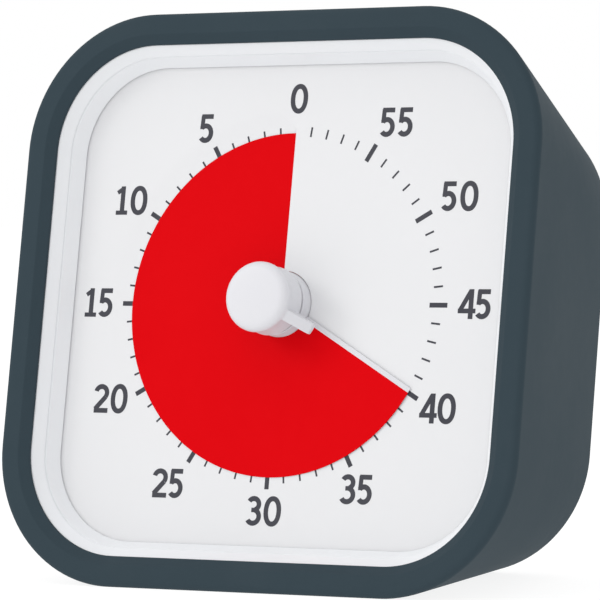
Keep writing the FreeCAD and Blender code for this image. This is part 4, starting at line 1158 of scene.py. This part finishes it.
@dataclass
class DialPrint:
    """The minute marks and the numbers, as a thin layer of ink that follows the dial's face."""

    dial: Dial
    lift: float = 0.02
    layer: float = 0.004
    mark_inner: float = 25.95
    mark_outer: float = 29.0
    mark_width: float = 0.75
    minute_inner: float = 26.6
    minute_outer: float = 28.15
    minute_width: float = 0.3
    figure_middle: float = 2.3
    places: tuple[tuple[float, float], ...] = (
        (0.2, 32.6),
        (-16.2, 28.1),
        (-28.9, 16.6),
        (-33.4, 0.1),
        (-29.6, -15.3),
        (-17.8, -28.5),
        (-0.1, -32.4),
        (15.8, -28.6),
        (28.7, -15.9),
        (33.6, 0.2),
        (29.8, 16.9),
        (17.8, 28.6),
    )

    def ribbon(self, line: Array, across: Array, width: float, level: int) -> Surface:
        """A flat stroke: rows across the line, lifted a little above the dial's face.

        Args:
            line: points (x, z) along the stroke.
            across: direction across it at each point.
            width: its width.
            level: which layer it lies in, so that crossing strokes keep apart.

        Returns:
            The thin closed layer.
        """
        shares = np.linspace(-0.5, 0.5, 5)[None, :, None]
        plan = line[:, None] + shares * width * across[:, None]
        radius = np.hypot(plan[..., 0], plan[..., 1])
        clock = np.arctan2(-plan[..., 0], plan[..., 1]) % (2 * math.pi)
        face = self.dial.height(radius, clock)
        top = np.stack([plan[..., 0], face + self.lift + level * self.layer, plan[..., 1]], -1)
        bottom = np.stack([plan[..., 0], face - self.lift, plan[..., 1]], -1)
        cells = grid_cells(len(line), 5, False, False)
        return slab_surface(top.reshape(-1, 3), bottom.reshape(-1, 3), cells)

    def mark(self, clock: float, inner: float, outer: float, width: float) -> Surface:
        """One mark along a clock angle, in degrees."""
        angle = math.radians(clock)
        direction = np.array([-math.sin(angle), math.cos(angle)])
        line = np.linspace(inner, outer, 8)[:, None] * direction
        across = np.broadcast_to([direction[1], -direction[0]], line.shape)
        return self.ribbon(line, across, width, 0)

    def number(self, text: str, x: float, z: float) -> Surface:
        """One number, set level and centred on its place round the dial."""
        figures = [FIGURES[digit] for digit in text]
        last = figures[-1]
        width = sum(f.advance for f in figures[:-1]) - 2 * last.left
        pen = x - width / 2
        foot = z - self.figure_middle
        ribbons = []
        for figure in figures:
            for level, stroke in enumerate(figure.strokes):
                line, across = stroke.centreline()
                at = np.array([pen - figure.left, foot])
                ribbons.append(self.ribbon(line + at, across, stroke.width, level))
            pen += figure.advance
        return Surface.together(ribbons)

    def build(self, maker: Maker) -> None:
        """Makes the marks and the numbers."""
        long, short = (self.mark_inner, self.mark_outer), (self.minute_inner, self.minute_outer)
        printed = {
            "five_minute_marks": [self.mark(c, *long, self.mark_width) for c in range(30, 360, 30)],
            "minute_marks": [self.mark(c, *short, self.minute_width) for c in range(6, 360, 6) if c % 30],
            "dial_numbers": [self.number(str(5 * n), x, z) for n, (x, z) in enumerate(self.places)],
        }
        for name, parts in printed.items():
            maker.piece(name, Surface.together(parts), "printed_ink", Body.CASE)


# ---- Disk --------------------------------------------------------------------------------------------
@dataclass
class RedDisk:
    """One turn of red film wound as a shallow screw, with its white edge strip and its sleeve."""

    pitch: float = 0.8
    gap: float = 0.05
    drop: float = 0.4
    thick: float = 0.1
    radius: float = 27.16
    shown: float = 240.0
    arc: float = 366.0
    hub_radius: float = 5.2
    hub_front: float = 2.35
    hub_rear: float = -0.7
    bore: float = 2.06
    strip_width: float = 0.8
    strip_thick: float = 0.15

    def film(self) -> Surface:
        """The film: its height rises evenly with the clock angle, one pitch to a turn."""
        clock = np.radians(np.linspace(self.shown - self.arc, self.shown, 367))[None]
        radius = np.array([self.hub_radius + 0.03, 5.6, 12.0, 20.0, 26.9, self.radius])[:, None]
        low = self.gap - self.drop + self.pitch * clock / (2 * math.pi)
        bottom = clock_points(radius, low, clock)
        top = clock_points(radius, low + self.thick, clock)
        cells = grid_cells(*top.shape[:2], False, False)
        return slab_surface(top.reshape(-1, 3), bottom.reshape(-1, 3), cells)

    def strip(self) -> Surface:
        """The strip: a rounded bar's section carried from the sleeve to the film's edge."""
        low = self.gap - self.drop + self.pitch * self.shown / 360
        sides = [(0.0, low), (self.strip_width, low), (self.strip_width, low + self.strip_thick)]
        section = filleted_loop([(u, h, 0.0, 0.04) for u, h in [*sides, (0.0, low + self.strip_thick)]], 4)
        angle = math.radians(self.shown)
        out = np.array([-math.sin(angle), math.cos(angle)])
        ahead = np.array([-math.cos(angle), -math.sin(angle)])
        inner, outer, end = self.hub_radius, self.radius, 0.05
        reach = np.array([inner, inner + end, outer - end, outer])[:, None, None]
        shrink = np.array([0.8, 1.0, 1.0, 0.8])[:, None, None]
        middle = section.mean(0)
        profile = middle + shrink * (section - middle)[None]
        plan = reach * out + profile[..., :1] * ahead
        grid = np.stack([plan[..., 0], np.broadcast_to(profile[..., 1], plan.shape[:2]), plan[..., 1]], -1)
        return capped_surface(grid, grid[0].mean(0), grid[-1].mean(0))

    def sleeve(self) -> Surface:
        """The sleeve: a collar's profile with a shallow groove, carried round the shaft."""
        r, front = self.hub_radius, self.hub_front
        profile = filleted_loop(
            [
                (self.bore, self.hub_rear, 0.0, 0.08),
                (r, self.hub_rear, 0.0, 0.08),
                (r, front, 0.0, 0.14),
                (r - 0.8, front, 0.0, 0.06),
                (r - 0.9, front - 0.25, 0.0, 0.06),
                (r - 1.3, front - 0.25, 0.0, 0.06),
                (r - 1.4, front, 0.0, 0.06),
                (self.bore, front, 0.0, 0.08),
            ],
            4,
        )
        return round_ring(profile, 120)

    def build(self, maker: Maker) -> None:
        """Makes the film, its strip and its sleeve."""
        film, strip, sleeve = self.film(), self.strip(), self.sleeve()
        maker.piece("red_film", film, "red_film", Body.DISK, ["red_disk"])
        maker.piece("film_edge_strip", strip, "knob_white", Body.DISK, ["disk_edge_strip"])
        maker.piece("film_sleeve", sleeve, "knob_white", Body.DISK, ["disk_hub"], 30.0)


# ---- Knob --------------------------------------------------------------------------------------------
@dataclass
class Knob:
    """The round knob and its fin, one smooth surface about the axis."""

    front: float = 8.7
    rear: float = 3.2
    radius: float = 5.5
    waist: float = 5.28
    base: float = 5.38
    edge: float = 1.3
    dome: float = 0.12
    fin_clock: float = 240.0
    fin_half: float = 0.9
    fin_reach: float = 9.0
    fin_tip: float = 4.0
    fin_top: float = 8.1
    join: float = 0.55
    columns: int = 520

    def outline(self, away: Array, height: Array, body: Array) -> Array:
        """Distance of the surface from the axis at each angle away from the fin.

        The fin fills a straight band: its side is at half the band's width over the sine of the angle, and
        its end at the ridge's reach over the cosine. The smaller of the two, softly joined, is the fin, and
        the larger of fin and body, softly joined, is the surface.

        Args:
            away: angle from the fin, in radians.
            height: height of each row.
            body: the round body's radius at each row.

        Returns:
            The distances.
        """
        slope = (self.fin_reach - self.radius + 1.0) / (self.fin_top - self.fin_tip)
        ridge = np.minimum(self.fin_reach, self.radius - 1.0 + (self.fin_top - height) * slope)
        ridge = soft_min(ridge, np.full_like(ridge, self.fin_reach), 0.35) + 0.06
        facing = np.clip(np.cos(away), 0.02, None)
        side = self.fin_half / np.clip(np.abs(np.sin(away)), 1e-3, None)
        fin = soft_min(side, np.clip(ridge, 0.2, None) / facing, 0.8)
        fin = np.where(np.cos(away) > 0.05, fin, 0.0)
        return soft_max(body + 0 * fin, fin, self.join)

    def surface(self) -> Surface:
        """Rows from the base up the side and over the rounded edge, then in to a pole at each end.

        The columns crowd towards the fin, where the outline turns fastest.

        Returns:
            The knob's surface.
        """
        w = np.linspace(-1.0, 1.0, self.columns, endpoint=False)
        away = math.pi * (0.12 * w + 0.88 * w**3)
        round_turn = np.linspace(0.0, math.pi / 2, 9)
        side = np.linspace(self.rear + 0.16, self.front - self.edge, 40)
        middle = (side[0] + side[-1]) / 2
        bend = ((side - middle) / (side[-1] - middle)) ** 2
        foot = np.where(side < middle, self.base, self.radius)
        body = self.waist + (foot - self.waist) * bend
        shoulder = side[-1] + self.edge * np.sin(round_turn[1:])
        height = np.concatenate([[self.rear, self.rear + 0.05], side, shoulder])
        top_body = self.radius - self.edge + self.edge * np.cos(round_turn[1:])
        body = np.concatenate([[self.base, self.base], body, top_body])
        inset = np.zeros(len(body))
        inset[:2] = (0.12, 0.03)
        reach = self.outline(away[None], height[:, None], body[:, None]) - inset[:, None]
        inward = np.array([0.85, 0.6, 0.3])[:, None]
        under = inward[::-1] * reach[:1]
        over = inward * reach[-1:]
        crown = self.front + self.dome * (1 - inward[:, 0] ** 2)
        height = np.concatenate([np.full(3, self.rear), height, crown])
        clock = away[None] + math.radians(self.fin_clock)
        grid = clock_points(np.concatenate([under, reach, over]), height[:, None], clock)
        foot_pole = np.array([0.0, self.rear, 0.0])
        return capped_surface(grid, foot_pole, np.array([0.0, self.front + self.dome, 0.0]))

    def build(self, maker: Maker) -> None:
        """Makes the knob."""
        maker.piece("knob_and_fin", self.surface(), "knob_white", Body.SPINDLE, ["knob"], 50.0)


# ---- Carried-over nodes ------------------------------------------------------------------------------
@dataclass
class Works:
    """The housing's back, the fasteners and the works, whose shapes come from the assembly."""

    finishes: dict[str, bpy.types.Material]
    softened: tuple[str, ...] = ("rear_housing", "battery_door", "sound_switch")
    edge: float = 0.12

    def dress(self) -> None:
        """Gives every carried-over node its finish."""
        for finish, names in NODE_FINISHES.items():
            for name in names:
                node = frame["nodes"][name]
                for slot in node.material_slots:
                    slot.material = self.finishes[finish]
                LOG.info("%s: %s", name, finish)
        for name in self.softened:
            self.soften(frame["nodes"][name])

    def soften(self, node: bpy.types.Object) -> None:
        """Rounds a node's sharp edges: its points are merged, then its edges bevelled."""
        weld = node.modifiers.new("weld", "WELD")
        weld.merge_threshold = 1e-6
        bevel = node.modifiers.new("soft_edges", "BEVEL")
        bevel.width = self.edge * MM
        bevel.segments = 2
        bevel.limit_method = "ANGLE"
        bevel.angle_limit = math.radians(40)
        bevel.harden_normals = True


# ---- Studio ------------------------------------------------------------------------------------------
@dataclass
class Studio:
    """Pale floor, white surroundings, two soft lights and the camera."""

    floor_size: float = 6.0
    surround: float = 1.0
    floor_glow: float = 0.86
    dim: float = 0.8
    camera_place: tuple[float, float, float] = (0.32524, -0.59167, 0.066534)
    camera_aim: tuple[float, float, float] = (-0.00472, 0.0, 0.043818)
    camera_roll: float = -0.754
    lens: float = 255.5

    def build(self) -> None:
        """Sets up the scene round the object."""
        scene = bpy.context.scene
        scene.view_settings.view_transform = "Standard"
        self.floor()
        self.surroundings(scene)
        self.light("key_softbox", (-0.9, -0.9, 0.75), 0.5, 3.0, (1.0, 0.985, 0.965))
        self.light("top_softbox", (0.1, -0.2, 1.3), 1.0, 0.8, (0.97, 0.985, 1.0))
        self.camera(scene)

    def floor(self) -> None:
        """A wide pale floor at the height that the timer stands on."""
        reach = self.floor_size / 2
        mesh = bpy.data.meshes.new("floor")
        corners = [(-reach, -reach, 0), (reach, -reach, 0), (reach, reach, 0), (-reach, reach, 0)]
        mesh.from_pydata(corners, [], [(0, 1, 2, 3)])
        material = bpy.data.materials.new("pale_floor")
        material.use_nodes = True
        shader = material.node_tree.nodes["Principled BSDF"]
        shader.inputs["Base Color"].default_value = (0.2, 0.2, 0.2, 1.0)
        shader.inputs["Emission Color"].default_value = (1.0, 1.0, 1.0, 1.0)
        shader.inputs["Emission Strength"].default_value = self.floor_glow
        shader.inputs["Roughness"].default_value = 0.9
        shader.inputs["Specular IOR Level"].default_value = 0.1
        mesh.materials.append(material)
        floor = bpy.data.objects.new("floor", mesh)
        bpy.context.scene.collection.objects.link(floor)

    def surroundings(self, scene: bpy.types.Scene) -> None:
        """White surroundings, dimmer to the right."""
        world = bpy.data.worlds.new("surroundings")
        world.use_nodes = True
        sky = world.node_tree.nodes["Background"]
        b = GroupBuilder(world.node_tree)
        where = b.node("ShaderNodeTexCoord").outputs["Generated"]
        right = b.node("ShaderNodeSeparateXYZ", None, Vector=where).outputs["X"]
        shade = b.mix(b.ramp(right, 0.1, 0.95), (1.0, 1.0, 1.0, 1.0), (*[self.dim] * 3, 1.0))
        world.node_tree.links.new(shade, sky.inputs["Color"])
        sky.inputs["Strength"].default_value = self.surround
        scene.world = world

    def light(self, name: str, place: Sequence[float], size: float, power: float, colour: Colour) -> None:
        """One soft light aimed at the object.

        Args:
            name: its name.
            place: where it stands, in metres.
            size: the side of its square face.
            power: its power in watts.
            colour: its colour.
        """
        data = bpy.data.lights.new(name, "AREA")
        data.size = size
        data.energy = power
        data.color = colour
        lamp = bpy.data.objects.new(name, data)
        lamp.location = place
        lamp.rotation_euler = (Vector(self.camera_aim) - Vector(place)).to_track_quat("-Z", "Y").to_euler()
        bpy.context.scene.collection.objects.link(lamp)

    def camera(self, scene: bpy.types.Scene) -> None:
        """A long lens aimed at the timer from its front right."""
        data = bpy.data.cameras.new("camera")
        data.lens = self.lens
        data.sensor_width = 36.0
        data.clip_start = 0.05
        data.clip_end = 50.0
        camera = bpy.data.objects.new("camera", data)
        sight = Vector(self.camera_aim) - Vector(self.camera_place)
        turn = sight.to_track_quat("-Z", "Y").to_matrix().to_4x4()
        roll = Matrix.Rotation(math.radians(self.camera_roll), 4, "Z")
        camera.matrix_world = Matrix.Translation(Vector(self.camera_place)) @ turn @ roll
        scene.collection.objects.link(camera)
        scene.camera = camera


def main() -> None:
    """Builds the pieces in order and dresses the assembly."""
    logging.basicConfig(level=logging.INFO, format="%(name)s: %(message)s")
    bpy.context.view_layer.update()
    effects = Effects()
    finishes = {name: finish.material(name, effects) for name, finish in FINISHES.items()}
    maker = Maker(CaseFrame.from_joint("dial_turn"), finishes)
    shape = CaseShape()
    dial = Dial(shape)
    for part in (SoftCover(shape), FrontShell(shape), dial, DialPrint(dial), RedDisk(), Knob()):
        part.build(maker)
    Works(finishes).dress()
    Studio().build()


if __name__ == "__main__":
    main()
